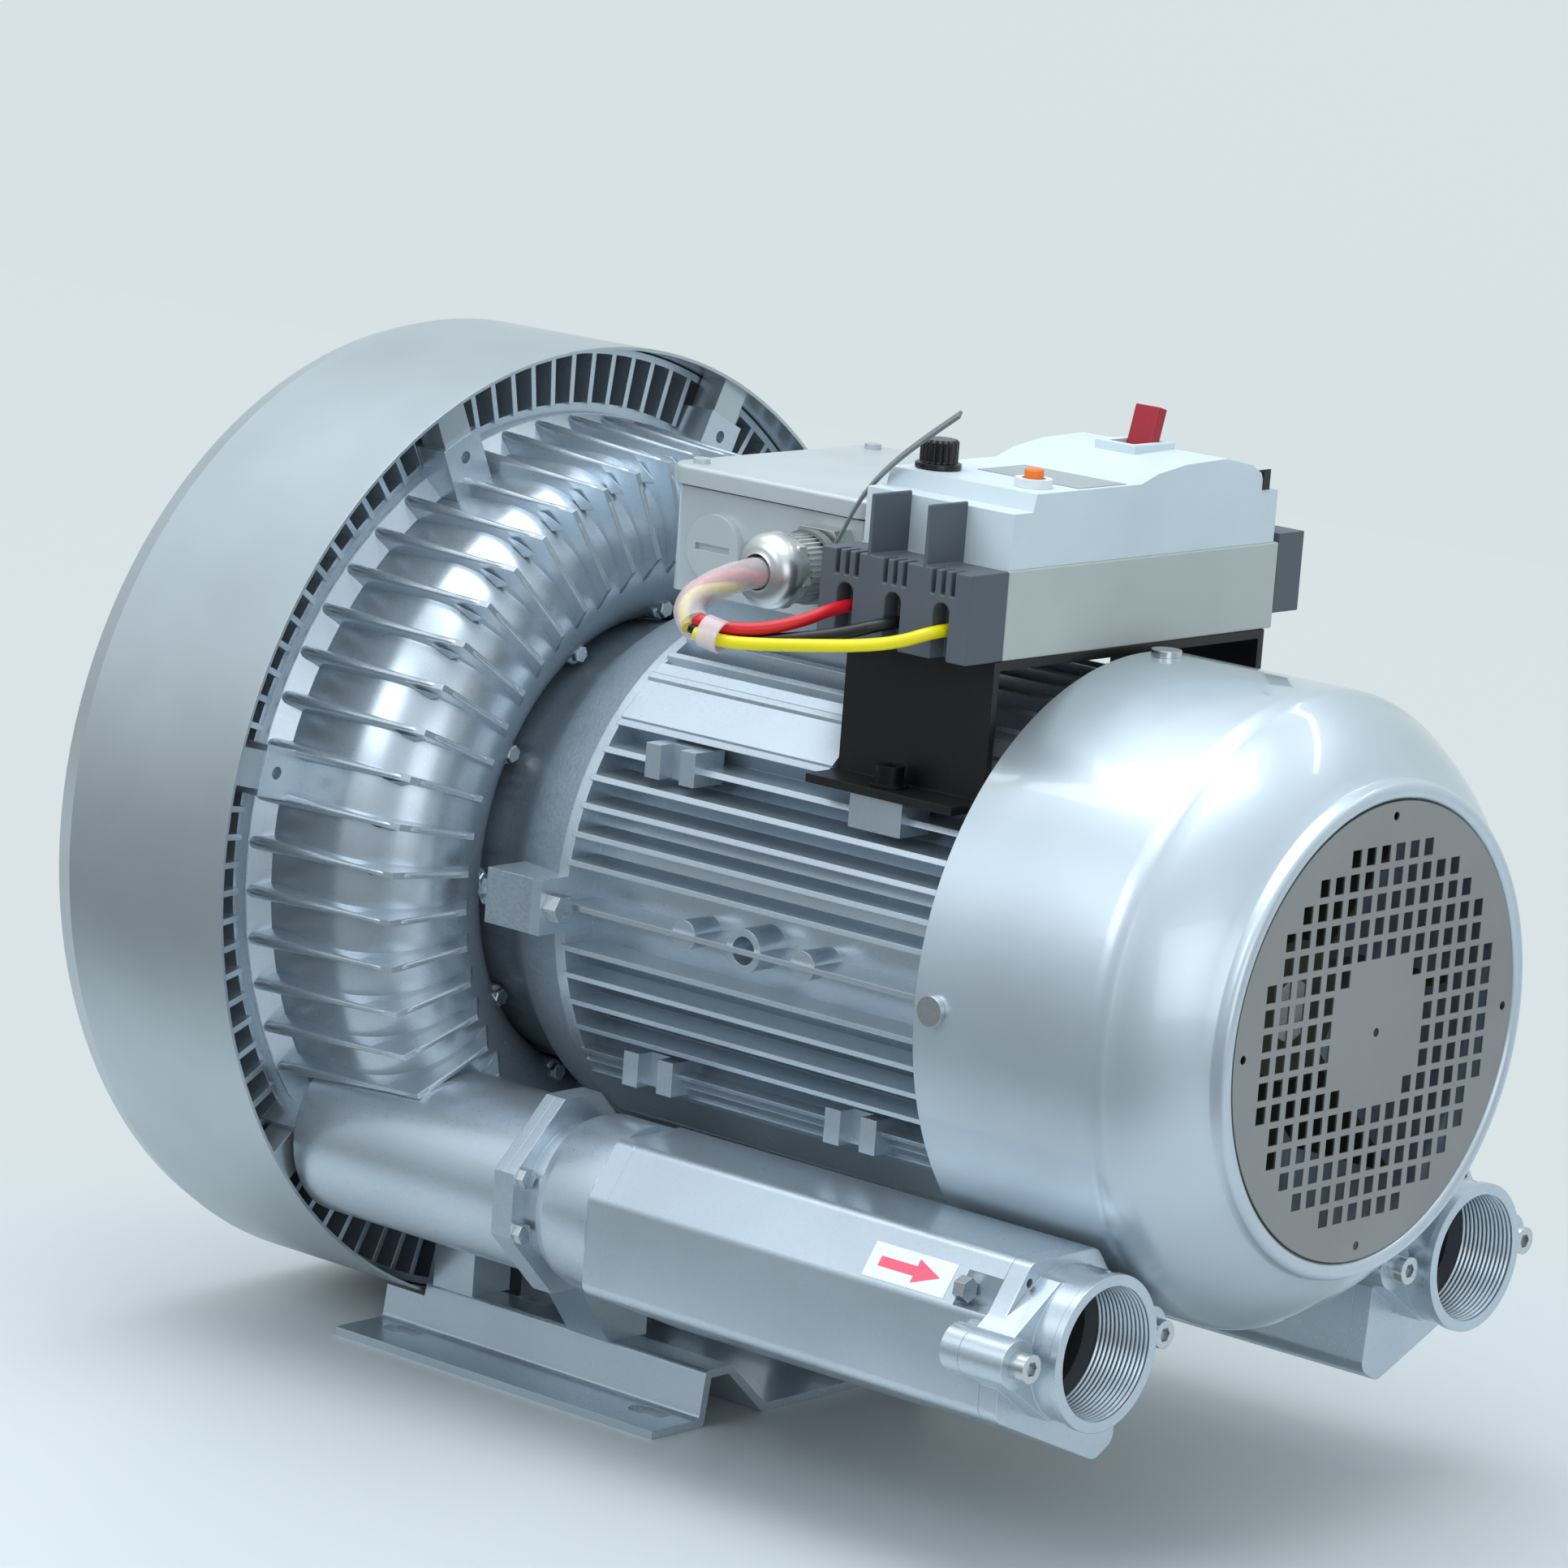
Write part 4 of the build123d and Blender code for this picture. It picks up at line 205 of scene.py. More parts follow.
    # Moulded rubber and open foam: black, with almost no reflection
    surface("rubber", "moulded_rubber", "#141414", 0.0, 0.6, 0.6, 0.08, 0.03)
    surface("foam", "open_cell_foam", "#2A2B2D", 0.0, 0.9, 1.5, 0.6, 0.2)
    # Varnished windings and stacked sheet: metal broken up by fine ridges
    surface("copper", "varnished_copper_wire", "#A5603A", 0.9, 0.35, 0.8, 0.2, 0.08)
    surface("laminations", "stacked_lamination_steel", "#77797C", 0.9, 0.4, 0.5, 0.2, 0.06)
    # Machined aluminium: bright, with a fine even grain
    surface("bare_aluminium", "machined_aluminium", "#C2C5C8", 1.0, 0.3, 0.5, 0.04, 0.03)
    # Vinyl stickers and their printed ink: even, pale and slightly glossy
    surface("sticker_white", "vinyl_sticker_white", "#E8EDF0", 0.0, 0.4, 0.6, 0.02, 0.01)
    surface("sticker_red", "printed_ink_red", "#F0607A", 0.0, 0.4, 0.6, 0.02, 0.01)
    surface("sticker_grey", "vinyl_sticker_grey", "#9AA2A6", 0.0, 0.4, 0.6, 0.02, 0.01)


node_finishes = {
    "cast_silver": ("channel_housing", "impeller_cover", "outlet_neck", "inlet_neck", "outlet_silencer",
                    "inlet_silencer", "outlet_flange", "inlet_flange", "motor_frame", "foot"),
    "rough_cast": ("motor_flange", "end_shield"),
    "drum_sheet": ("drum_cowl",),
    "cowl_sheet": ("fan_cowl",),
    "guard_sheet": ("fan_guard",),
    "zinc": ("cowl_screws", "housing_screws", "silencer_screws", "duct_bolts", "foot_bolts", "flange_studs",
             "impeller_nut"),
    "black_oxide": ("bracket_screws",),
    "powder_black": ("starter_bracket",),
    "ground_steel": ("shaft", "shaft_key", "bearing_inner_rings", "bearing_outer_rings"),
    "copper": ("stator_windings",),
    "laminations": ("stator_core",),
    "bare_aluminium": ("impeller", "rotor_core"),
    "fan_plastic": ("front_fan", "cooling_fan"),
    "grey_plastic": ("output_block", "input_block"),
    "light_plastic": ("starter_cover",),
    "tray_plastic": ("starter_base",),
    "black_plastic": ("current_knob",),
    "orange_plastic": ("test_button",),
    "red_plastic": ("handle",),
    "white_plastic": ("button_collar",),
    "box_paint": ("terminal_box", "box_lid", "blind_plug", "lid_screws"),
    "nickel": ("gland_body", "gland_nut"),
    "rubber": ("shaft_seal", "box_gasket"),
    # The tubes lie behind punched sheets, whose holes show foam
    "foam": ("outlet_foam", "inlet_foam", "outlet_tube", "inlet_tube"),
    "clear_wrap": ("wire_sleeve", "wire_band"),
    "red_wire": ("wire_red",),
    "black_wire": ("wire_black",),
    "yellow_wire": ("wire_yellow",),
    "board": ("terminal_board",),
}


# ---------------------------------------------------------------- pieces
def new_object(name, data):
    """An object with this data, in the scene."""
    made = bpy.data.objects.new(name, data)
    bpy.context.scene.collection.objects.link(made)
    return made


def evaluated_mesh(source):
    """The plain mesh that an object's modifiers, nodes or curve come to."""
    graph = bpy.context.evaluated_depsgraph_get()
    return bpy.data.meshes.new_from_object(source.evaluated_get(graph))


def merged_copy(node, name):
    """A copy of a node's mesh and a bmesh of it, in which the loose triangles share their corners."""
    mesh = nodes[node].data.copy()
    mesh.name = name
    work = bmesh.new()
    work.from_mesh(mesh)
    bmesh.ops.remove_doubles(work, verts=work.verts, dist=MERGE_DISTANCE)
    return mesh, work


def body_of_node(node):
    """The moving body that a node rides on, as the record lists it."""
    bodies = frame["record"]["behaviour"]["bodies"]
    return next(body for body, members in bodies.items() if node in members)


def shade(mesh, limit=32):
    """Smooth faces, with the edges sharper than the limit kept crisp."""
    work = bmesh.new()
    work.from_mesh(mesh)
    for face in work.faces:
        face.smooth = True
    for edge in work.edges:
        edge.smooth = len(edge.link_faces) != 2 or edge.calc_face_angle() < math.radians(limit)
    work.to_mesh(mesh)
    work.free()


def add_piece(name, mesh, finish_name, node, replace=False):
    """Puts a finished mesh in the scene on its node's body, in place of the node where asked."""
    piece = new_object(name, mesh)
    mesh.materials.clear()
    mesh.materials.append(finishes[finish_name])
    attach(piece, body_of_node(node))
    if replace:
        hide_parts(node)
    return piece


def mesh_from(name, work, limit=32):
    """Closes a bmesh: doubles merged, faces turned outwards, curves shaded smooth."""
    bmesh.ops.remove_doubles(work, verts=work.verts, dist=MERGE_DISTANCE)
    bmesh.ops.recalc_face_normals(work, faces=work.faces)
    mesh = bpy.data.meshes.new(name)
    work.to_mesh(mesh)
    work.free()
    shade(mesh, limit)
    return mesh


def join_rings(work, rings, closed=False):
    """Adds the faces between each ring of corners and the next, and back to the first where closed."""
    for one, two in zip(rings, rings[1:] + rings[:1] if closed else rings[1:]):
        for k in range(len(one)):
            n = (k + 1) % len(one)
            work.faces.new((one[k], one[n], two[n], two[k]))


def cap_ends(work, rings):
    """Closes the first and last ring of a tube."""
    work.faces.new(rings[0])
    work.faces.new(rings[-1][::-1])


def round_axes(along):
    """Two directions square to a line and to each other, to turn a shape about it."""
    first = along.orthogonal().normalized()
    return first, along.cross(first)


def turn_profile(work, profile, centre, along, steps):
    """Adds a closed profile of (along, radius) in mm, turned about a line through a place."""
    along = Vector(along)
    first, second = round_axes(along)
    rings = []
    for step in range(steps):
        turn = 2 * math.pi * step / steps
        away = first * math.cos(turn) + second * math.sin(turn)
        rings.append([work.verts.new(centre + along * reach * MM + away * radius * MM) for reach, radius in profile])
    join_rings(work, rings, closed=True)


def turned(name, profile, centre, along, steps, limit=32):
    """The mesh of one turned profile."""
    work = bmesh.new()
    turn_profile(work, profile, centre, along, steps)
    return mesh_from(name, work, limit)


def prism(work, points, start, reach):
    """Adds a flat outline, pushed along a direction from its place."""
    low = [work.verts.new(start + point) for point in points]
    high = [work.verts.new(start + point + reach) for point in points]
    work.faces.new(low)
    work.faces.new(high[::-1])
    for k in range(len(points)):
        n = (k + 1) % len(points)
        work.faces.new((low[k], high[k], high[n], low[n]))


def softened(node, name, finish_name, width_mm, steps=3, limit=30):
    """Replaces a rigid node with a copy of it that has rounded edges."""
    mesh, work = merged_copy(node, name)
    flat = math.radians(0.5)
    bmesh.ops.dissolve_limit(work, angle_limit=flat, verts=work.verts, edges=work.edges)
    work.to_mesh(mesh)
    work.free()
    shade(mesh, limit)
    piece = add_piece(name, mesh, finish_name, node, replace=True)
    rounding = piece.modifiers.new("rounding", "BEVEL")
    # Hardened normals keep the flats flat, so that no diagonal shows across them
    rounding.harden_normals = True
    rounding.width = width_mm * MM
    rounding.segments = steps
    rounding.limit_method = "ANGLE"
    rounding.angle_limit = math.radians(limit)
    rounding.use_clamp_overlap = True
    rounded = evaluated_mesh(piece)
    piece.modifiers.clear()
    piece.data = rounded


# ---------------------------------------------------------------- settings
class BlowerSizes(bpy.types.PropertyGroup):
    """Sizes of the surfaces that the scene adds, in mm of the real blower."""

    torus_steps: IntProperty(name="Torus steps", description="Facets round the side channel", default=240, min=48)
    fin_crest: FloatProperty(name="Fin crest", description="Thickness of a housing fin at its crest",
                             default=2.5 * MM, unit="LENGTH")
    fin_root: FloatProperty(name="Fin root", description="Thickness of a housing fin at its root",
                            default=4.4 * MM, unit="LENGTH")
    fin_count: IntProperty(name="Fins", description="Number of fins across the housing", default=39, min=1)
    fin_pitch: FloatProperty(name="Fin pitch", description="Angle between two fins", subtype="ANGLE",
                             default=math.radians(6.7))
    guard_sheet: FloatProperty(name="Guard sheet", description="Thickness of the fan guard's punched sheet",
                               default=0.9 * MM, unit="LENGTH")
    thread_pitch: FloatProperty(name="Thread pitch", description="Pitch of the ports' pipe thread",
                                default=2.31 * MM, unit="LENGTH")


class BlowerStage(bpy.types.PropertyGroup):
    """The studio round the blower."""

    floor_colour: FloatVectorProperty(name="Floor", description="Colour of the table top", subtype="COLOR",
                                      default=srgb("#CFD5D7")[:3])
    wall_colour: FloatVectorProperty(name="Wall", description="Colour of the backdrop", subtype="COLOR",
                                     default=srgb("#DAE4E7")[:3])


# ---------------------------------------------------------------- operators
class OBJECT_OT_blower_surfaces(bpy.types.Operator):
    """Give every CAD node its finish"""

    bl_idname = "object.blower_surfaces"
    bl_label = "Surfaces"

    def execute(self, context):
        make_finishes()
        for finish_name, members in node_finishes.items():
            for node in members:
                nodes[node].data.materials.clear()
                nodes[node].data.materials.append(finishes[finish_name])
        return {"FINISHED"}


class OBJECT_OT_blower_torus(bpy.types.Operator):
    """Cover the side channel's flats with its smooth cast skin"""

    bl_idname = "object.blower_torus"
    bl_label = "Side channel skin"

    def execute(self, context):
        skin_outer, skin_inner = 41.15, 39
        outer = [(-20.2, 200.25), (-19.75, 200.25), (-19.75, 192.9), (-19.2, 191.6), (-17.8, 190.6), (-15, 190.2),
                 (0, 190.15)]
        outer += arc(CHANNEL_X, CHANNEL_RADIUS, skin_outer, 90, -90, 36) + [(22, 107.85)]
        inner = [(22, 109)] + arc(CHANNEL_X, CHANNEL_RADIUS, skin_inner, -90, 90, 18)
        inner += [(-18, 188.5), (-20.2, 190)]
        mesh = turned("side_channel_skin", outer + inner, at(0, 0, 0), ALONG_SHAFT,
                      context.scene.blower_sizes.torus_steps)
        add_piece("side_channel_skin", mesh, "cast_silver", "channel_housing")
        return {"FINISHED"}


def fin_template(crest_mm, root_mm):
    """One housing fin along +Y from the shaft's line: a broad round ridge at the flange, thinned to a plate."""
    # The crest's corners, and how far before and after each one its bend reaches
    corners = [(-20.2, 199.7), (-10.5, 199.2), (66.4, 192.3), (75.5, 150.9), (49.6, 122.6)]
    rounds = (0, 7, 10, 8, 0)
    bend_steps = 6
    # The ridge's half thickness at its top and foot, where it starts to thin and over what length
    ridge_top, ridge_foot, ridge_end, thinning = 3.3, 4.4, -8, 60
    # The fin's foot lies just inside the rim's cylinder and the channel's skin
    rim_foot, skin_foot, plate_below = 188.5, 39.5, 190
    crest = []
    for k, corner in enumerate(corners):
        corner = Vector(corner)
        if not rounds[k]:
            crest.append(corner)
            continue
        before = (Vector(corners[k - 1]) - corner).normalized()
        after = (Vector(corners[k + 1]) - corner).normalized()
        for n in range(bend_steps + 1):
            t = n / bend_steps
            crest.append(corner + before * rounds[k] * (1 - t) ** 2 + after * rounds[k] * t ** 2)
        if k == 1:
            # Places along the straight crest, so that the ridge thins evenly
            crest += [Vector((x, 198.6 + (192.9 - 198.6) * (x + 3.5) / 60)) for x in (8, 22, 34, 44, 52)]
    channel = Vector((CHANNEL_X, CHANNEL_RADIUS))
    work = bmesh.new()
    sections = []
    for point in crest:
        away = point - channel
        if point.x < channel.x:
            root = Vector((point.x, rim_foot))
        else:
            root = channel + away.normalized() * skin_foot
        thin = min(max((point.x - ridge_end) / thinning, 0.0), 1.0)
        if point.y < plate_below:
            thin = 1.0
        top = (1 - thin) * ridge_top + thin * crest_mm / 2
        low = (1 - thin) * ridge_foot + thin * root_mm / 2
        rise = point - root
        lift = rise.normalized()
        outline = [(root, low), (root.lerp(point, 0.35), (low + 3 * top) / 4)]
        for turn in (0, 30, 60, 90):
            t = math.radians(turn)
            outline.append((point - lift * top * (1 - math.sin(t)), top * math.cos(t)))
        ring = [Vector((p.x, p.y, half)) for p, half in outline]
        ring += [Vector((p.x, p.y, -half)) for p, half in reversed(outline[:-1])]
        sections.append([work.verts.new(place * MM) for place in ring])
    join_rings(work, sections)
    cap_ends(work, sections)
    # The small gusset that stands on each fin's upper root, just before the plate begins
    base = [Vector((41, 189.4, 1.0)), Vector((59, 180.5, 1.0)), Vector((51, 180.5, 3.8)),
            Vector((49.5, 189.6, 3.0))]
    gusset = [work.verts.new(place * MM) for place in base]
    for face in ((0, 1, 3), (1, 2, 3), (2, 0, 3), (0, 2, 1)):
        work.faces.new([gusset[k] for k in face])
    return mesh_from("fin_template", work, 40)


def ring_tree(finish_name):
    """Geometry Nodes: one template repeated round the shaft at an even pitch."""
    tree = bpy.data.node_groups.new("repeat_round_shaft", "GeometryNodeTree")
    for label, kind, direction in (
        ("Template", "NodeSocketObject", "INPUT"),
        ("Count", "NodeSocketInt", "INPUT"),
        ("First", "NodeSocketFloat", "INPUT"),
        ("Pitch", "NodeSocketFloat", "INPUT"),
        ("Centre", "NodeSocketVector", "INPUT"),
        ("Geometry", "NodeSocketGeometry", "OUTPUT"),
    ):
        tree.interface.new_socket(name=label, in_out=direction, socket_type=kind)
    source = add_node(tree, "NodeGroupInput").outputs
    points = add_node(tree, "GeometryNodePoints", links={"Count": source["Count"]})
    index = add_node(tree, "GeometryNodeInputIndex")
    step = add_node(tree, "ShaderNodeMath", {"operation": "MULTIPLY_ADD"},
                    {0: index.outputs["Index"], 1: source["Pitch"], 2: source["First"]})
    turn = add_node(tree, "ShaderNodeCombineXYZ", links={"X": step.outputs["Value"]})
    rotation = add_node(tree, "FunctionNodeEulerToRotation", links={"Euler": turn.outputs["Vector"]})
    template = add_node(tree, "GeometryNodeObjectInfo", links={"Object": source["Template"]})
    copies = add_node(
        tree, "GeometryNodeInstanceOnPoints",
        links={"Points": points.outputs["Points"], "Instance": template.outputs["Geometry"],
               "Rotation": rotation.outputs["Rotation"]},
    )
    moved = add_node(tree, "GeometryNodeTranslateInstances",
                     links={"Instances": copies.outputs["Instances"], "Translation": source["Centre"]})
    moved.inputs["Local Space"].default_value = False
    real = add_node(tree, "GeometryNodeRealizeInstances", links={"Geometry": moved.outputs["Instances"]})
    dressed = add_node(tree, "GeometryNodeSetMaterial", links={"Geometry": real.outputs["Geometry"]})
    dressed.inputs["Material"].default_value = finishes[finish_name]
    add_node(tree, "NodeGroupOutput", links={"Geometry": dressed.outputs["Geometry"]})
    return tree


def repeated(name, template_mesh, finish_name, node, count, first_degrees, pitch_degrees, limit=40):
    """A template repeated round the shaft by Geometry Nodes, turned into one plain mesh."""
    template = new_object(name + "_template", template_mesh)
    host = new_object(name + "_host", bpy.data.meshes.new(name + "_host"))
    tree = ring_tree(finish_name)
    modifier = host.modifiers.new("repeat", "NODES")
    modifier.node_group = tree
    values = {"Template": template, "Count": count, "First": math.radians(first_degrees),
              "Pitch": math.radians(pitch_degrees), "Centre": at(0, 0, 0)}
    for item in tree.interface.items_tree:
        if item.in_out == "INPUT":
            modifier[item.identifier] = values[item.name]
    mesh = evaluated_mesh(host)
    mesh.name = name
    bpy.data.objects.remove(host)
    bpy.data.objects.remove(template)
    if not mesh.polygons:
        raise RuntimeError(name + " came out empty")
    shade(mesh, limit)
    add_piece(name, mesh, finish_name, node)


class OBJECT_OT_blower_fins(bpy.types.Operator):
    """Repeat the housing's fins across the side channel"""

    bl_idname = "object.blower_fins"
    bl_label = "Housing fins"

    def execute(self, context):
        sizes = context.scene.blower_sizes
        pitch = math.degrees(sizes.fin_pitch)
        first = 90 - pitch * (sizes.fin_count - 1) / 2
        template = fin_template(sizes.fin_crest / MM, sizes.fin_root / MM)
        repeated("housing_fins", template, "cast_silver", "channel_housing", sizes.fin_count, first, pitch)
        return {"FINISHED"}


class OBJECT_OT_blower_web_bolts(bpy.types.Operator):
    """Repeat the bolts that hold the bell to the housing"""

    bl_idname = "object.blower_web_bolts"
    bl_label = "Web bolts"

    def execute(self, context):
        first_bolt = Vector((0, 117 * MM, 0))
        count, first_degrees, pitch_degrees = 12, 1.5, 30
        boss = turned("web_boss", [(30, 0), (30, 5.6), (49.5, 5.6), (50.5, 4.6), (50.5, 0)],
                      first_bolt, ALONG_SHAFT, 20)
        repeated("web_bosses", boss, "cast_silver", "channel_housing", count, first_degrees, pitch_degrees)
        head = turned("web_bolt", [(50.4, 0), (50.4, 4.4), (53.4, 4.4), (54, 3.9), (54, 0)],
                      first_bolt, ALONG_SHAFT, 6, 20)
        repeated("web_bolts", head, "zinc", "duct_bolts", count, first_degrees, pitch_degrees, 20)
        return {"FINISHED"}


class OBJECT_OT_blower_ducts(bpy.types.Operator):
    """Round the edges of the cast ducts, silencers and flanges"""

    bl_idname = "object.blower_ducts"
    bl_label = "Cast ducts"

    def execute(self, context):
        for port in ("outlet", "inlet"):
            softened(port + "_neck", port + "_neck_casting", "cast_silver", 2.0)
            softened(port + "_silencer", port + "_silencer_casting", "cast_silver", 2.2)
            softened(port + "_flange", port + "_flange_casting", "cast_silver", 1.4)
        softened("foot", "foot_plate", "cast_silver", 0.8)
        softened("motor_flange", "motor_flange_casting", "rough_cast", 1.5)
        softened("terminal_box", "terminal_box_casting", "box_paint", 1.0)
        softened("box_lid", "box_lid_casting", "box_paint", 1.2)
        return {"FINISHED"}


class OBJECT_OT_blower_cowl(bpy.types.Operator):
    """Turn the fan cowl's pressed sheet with its round shoulder"""

    bl_idname = "object.blower_cowl"
    bl_label = "Fan cowl"

    def execute(self, context):
        # A cylinder of this radius, a bent shoulder and a cone that falls from its first place to its last
        radius, inner_radius, shoulder = 144.6, 143.1, 16
        cone_x, cone_end_x, cone_end_radius = 438, 474, 114
        tilt = math.degrees(math.atan2(cone_end_x - cone_x, radius - cone_end_radius))
        shoulder_x = cone_x - shoulder * math.tan(math.radians(90 - tilt) / 2)
        outer = [(338, inner_radius), (338, 144.3), (338.3, radius), (shoulder_x - 40, radius)]
        outer += arc(shoulder_x, radius - shoulder, shoulder, 90, tilt, 10)
        last = Vector(outer[-1])
        end = Vector((475.4, 112.6))
        side = Vector((end.y - last.y, last.x - end.x)).normalized() * -1
        bulge, cone_steps = 2.4, 8
        for n in range(1, cone_steps):
            t = n / cone_steps
            outer.append(tuple(last.lerp(end, t) + side * bulge * 4 * t * (1 - t)))
        outer += [(475.4, 112.6), (476.2, 111.9)] + arc(478.6, 107.4, 4, 78, -72, 12)
        outer += [(479.5, 103.2), (478.8, 100), (477, 100), (476.4, 106), (473.5, 110.5)]
        outer += [(shoulder_x + 8, 139), (shoulder_x, inner_radius)]
        mesh = turned("fan_cowl_sheet", outer, at(0, 0, 0), ALONG_SHAFT, 220, 40)
        add_piece("fan_cowl_sheet", mesh, "cowl_sheet", "fan_cowl", replace=True)
        # The guard as thin sheet: its back face comes forward, and its holes keep their centres but widen
        sheet, work = merged_copy("fan_guard", "guard_sheet")
        front = max(vertex.co.x for vertex in work.verts)
        pitch, half_width, half_height, widened = 10.7 * MM, 3.3 * MM, 3.9 * MM, 3.7 * MM
        near = 0.02 * MM
        for vertex in work.verts:
            vertex.co.x = max(vertex.co.x, front - context.scene.blower_sizes.guard_sheet)
            across, up = vertex.co.y, vertex.co.z - SHAFT_Z
            column = (math.floor(across / pitch) + 0.5) * pitch
            row = (math.floor(up / pitch) + 0.5) * pitch
            off_corner = max(abs(abs(across - column) - half_width), abs(abs(up - row) - half_height))
            if off_corner < near:
                vertex.co.y = column + math.copysign(widened, across - column)
        work.to_mesh(sheet)
        work.free()
        add_piece("guard_sheet", sheet, "guard_sheet", "fan_guard", replace=True)
        return {"FINISHED"}


class OBJECT_OT_blower_gland(bpy.types.Operator):
    """Turn the cable gland: ribbed barrel, hex collar and domed nut"""

    bl_idname = "object.blower_gland"
    bl_label = "Cable gland"

    def execute(self, context):
        centre, way = at(*GLAND_PLACE), Vector(GLAND_WAY)
        bore = 8.2
        work = bmesh.new()
        dome = [(98, bore), (98, 15.5)]
        dome += [(108 + 9 * math.cos(math.radians(a)), 9.2 + 8.2 * math.sin(math.radians(a)))
                 for a in range(110, -1, -10)] + [(117.6, bore)]
        turn_profile(work, dome, centre, way, 64)
        collar = [(98, bore), (98, 16.4), (98.6, 17.4), (103.4, 17.4), (104, 16.4), (104, bore)]
        turn_profile(work, collar, centre, way, 6)
        turn_profile(work, [(78, bore), (78, 14.6), (98.2, 14.6), (98.2, bore)], centre, way, 48)
        # Fine ribs stand along the barrel
        first, second = round_axes(way)
        ribs, rib_start, rib_length = 36, 79, 18
        for k in range(ribs):
            turn = 2 * math.pi * k / ribs
            away = first * math.cos(turn) + second * math.sin(turn)
            across = second * math.cos(turn) - first * math.sin(turn)
            foot, half_foot = away * 14 * MM, across * 0.75 * MM
            crest, half_crest = away * 15.7 * MM, across * 0.4 * MM
            points = [foot - half_foot, foot + half_foot, crest + half_crest, crest - half_crest]
            prism(work, points, centre + way * rib_start * MM, way * rib_length * MM)
        add_piece("gland_dome", mesh_from("gland_dome", work, 28), "nickel", "gland_nut", replace=True)
        return {"FINISHED"}


# Routes in mm from the rim plane: the CAD's, but the sleeve ends about 20 mm sooner, as it does in the photograph,
# so the wires start sooner too
sleeve_route = ((206, -98, 167.5), (206, -121, 167.5), (206.6, -142, 165), (206.5, -159, 159),
                (211.5, -168, 153.5), (219, -171, 149.6))
wire_routes = {
    "red": ((219, -171, 152.8), (231, -168, 150.6), (243, -156, 150.6), (254.5, -141, 155), (258.5, -123, 161),
            (258.5, -108, 161)),
    "black": ((217, -171, 149), (229, -168.5, 145.5), (244, -152, 146), (258, -143, 148.5), (273, -132, 152.5),
              (286, -122, 158), (286, -108, 158)),
    "yellow": ((221, -172.5, 147), (233, -170.5, 145), (247, -159, 145), (267, -147, 147), (287, -137, 149.5),
               (303, -130, 153.5), (313.5, -121.5, 159), (313.5, -108, 159)),
}


def smooth_path(places, name):
    """Points along the NURBS line that has these places as its control points."""
    curve = bpy.data.curves.new(name, "CURVE")
    curve.dimensions = "3D"
    curve.resolution_u = 12
    spline = curve.splines.new("NURBS")
    spline.points.add(len(places) - 1)
    for point, place in zip(spline.points, places):
        point.co = (*at(*place), 1)
    spline.order_u = 3
    spline.use_endpoint_u = True
    holder = new_object(name, curve)
    points = [vertex.co.copy() for vertex in evaluated_mesh(holder).vertices]
    bpy.data.objects.remove(holder)
    return points


def swept(name, points, section, limit=35):
    """A closed tube along a line: section(distance travelled) gives its outline's points in metres."""
    work = bmesh.new()
    tangent = (points[1] - points[0]).normalized()
    side = tangent.orthogonal().normalized()
    rings = []
    travelled = 0.0
    for k, point in enumerate(points):
        if k:
            travelled += (point - points[k - 1]).length
        after = points[min(k + 1, len(points) - 1)] - points[max(k - 1, 0)]
        tangent = after.normalized()
        side = (side - tangent * side.dot(tangent)).normalized()
        up = tangent.cross(side)
        rings.append([work.verts.new(point + side * a + up * b) for a, b in section(travelled)])
    join_rings(work, rings)
    cap_ends(work, rings)
    return mesh_from(name, work, limit)


def ring_of(radius, steps=20):
    """Points round a circle, as pairs."""
    return [(radius * math.cos(2 * math.pi * k / steps), radius * math.sin(2 * math.pi * k / steps))
            for k in range(steps)]


def divided(points, spacing):
    """The line's points moved to an even spacing."""
    out = [points[0]]
    carried = 0.0
    for one, two in zip(points, points[1:]):
        run = (two - one).length
        while run and carried + run >= spacing:
            one = one.lerp(two, (spacing - carried) / run)
            run = (two - one).length
            carried = 0.0
            out.append(one)
        carried += run
    return out + [points[-1]]


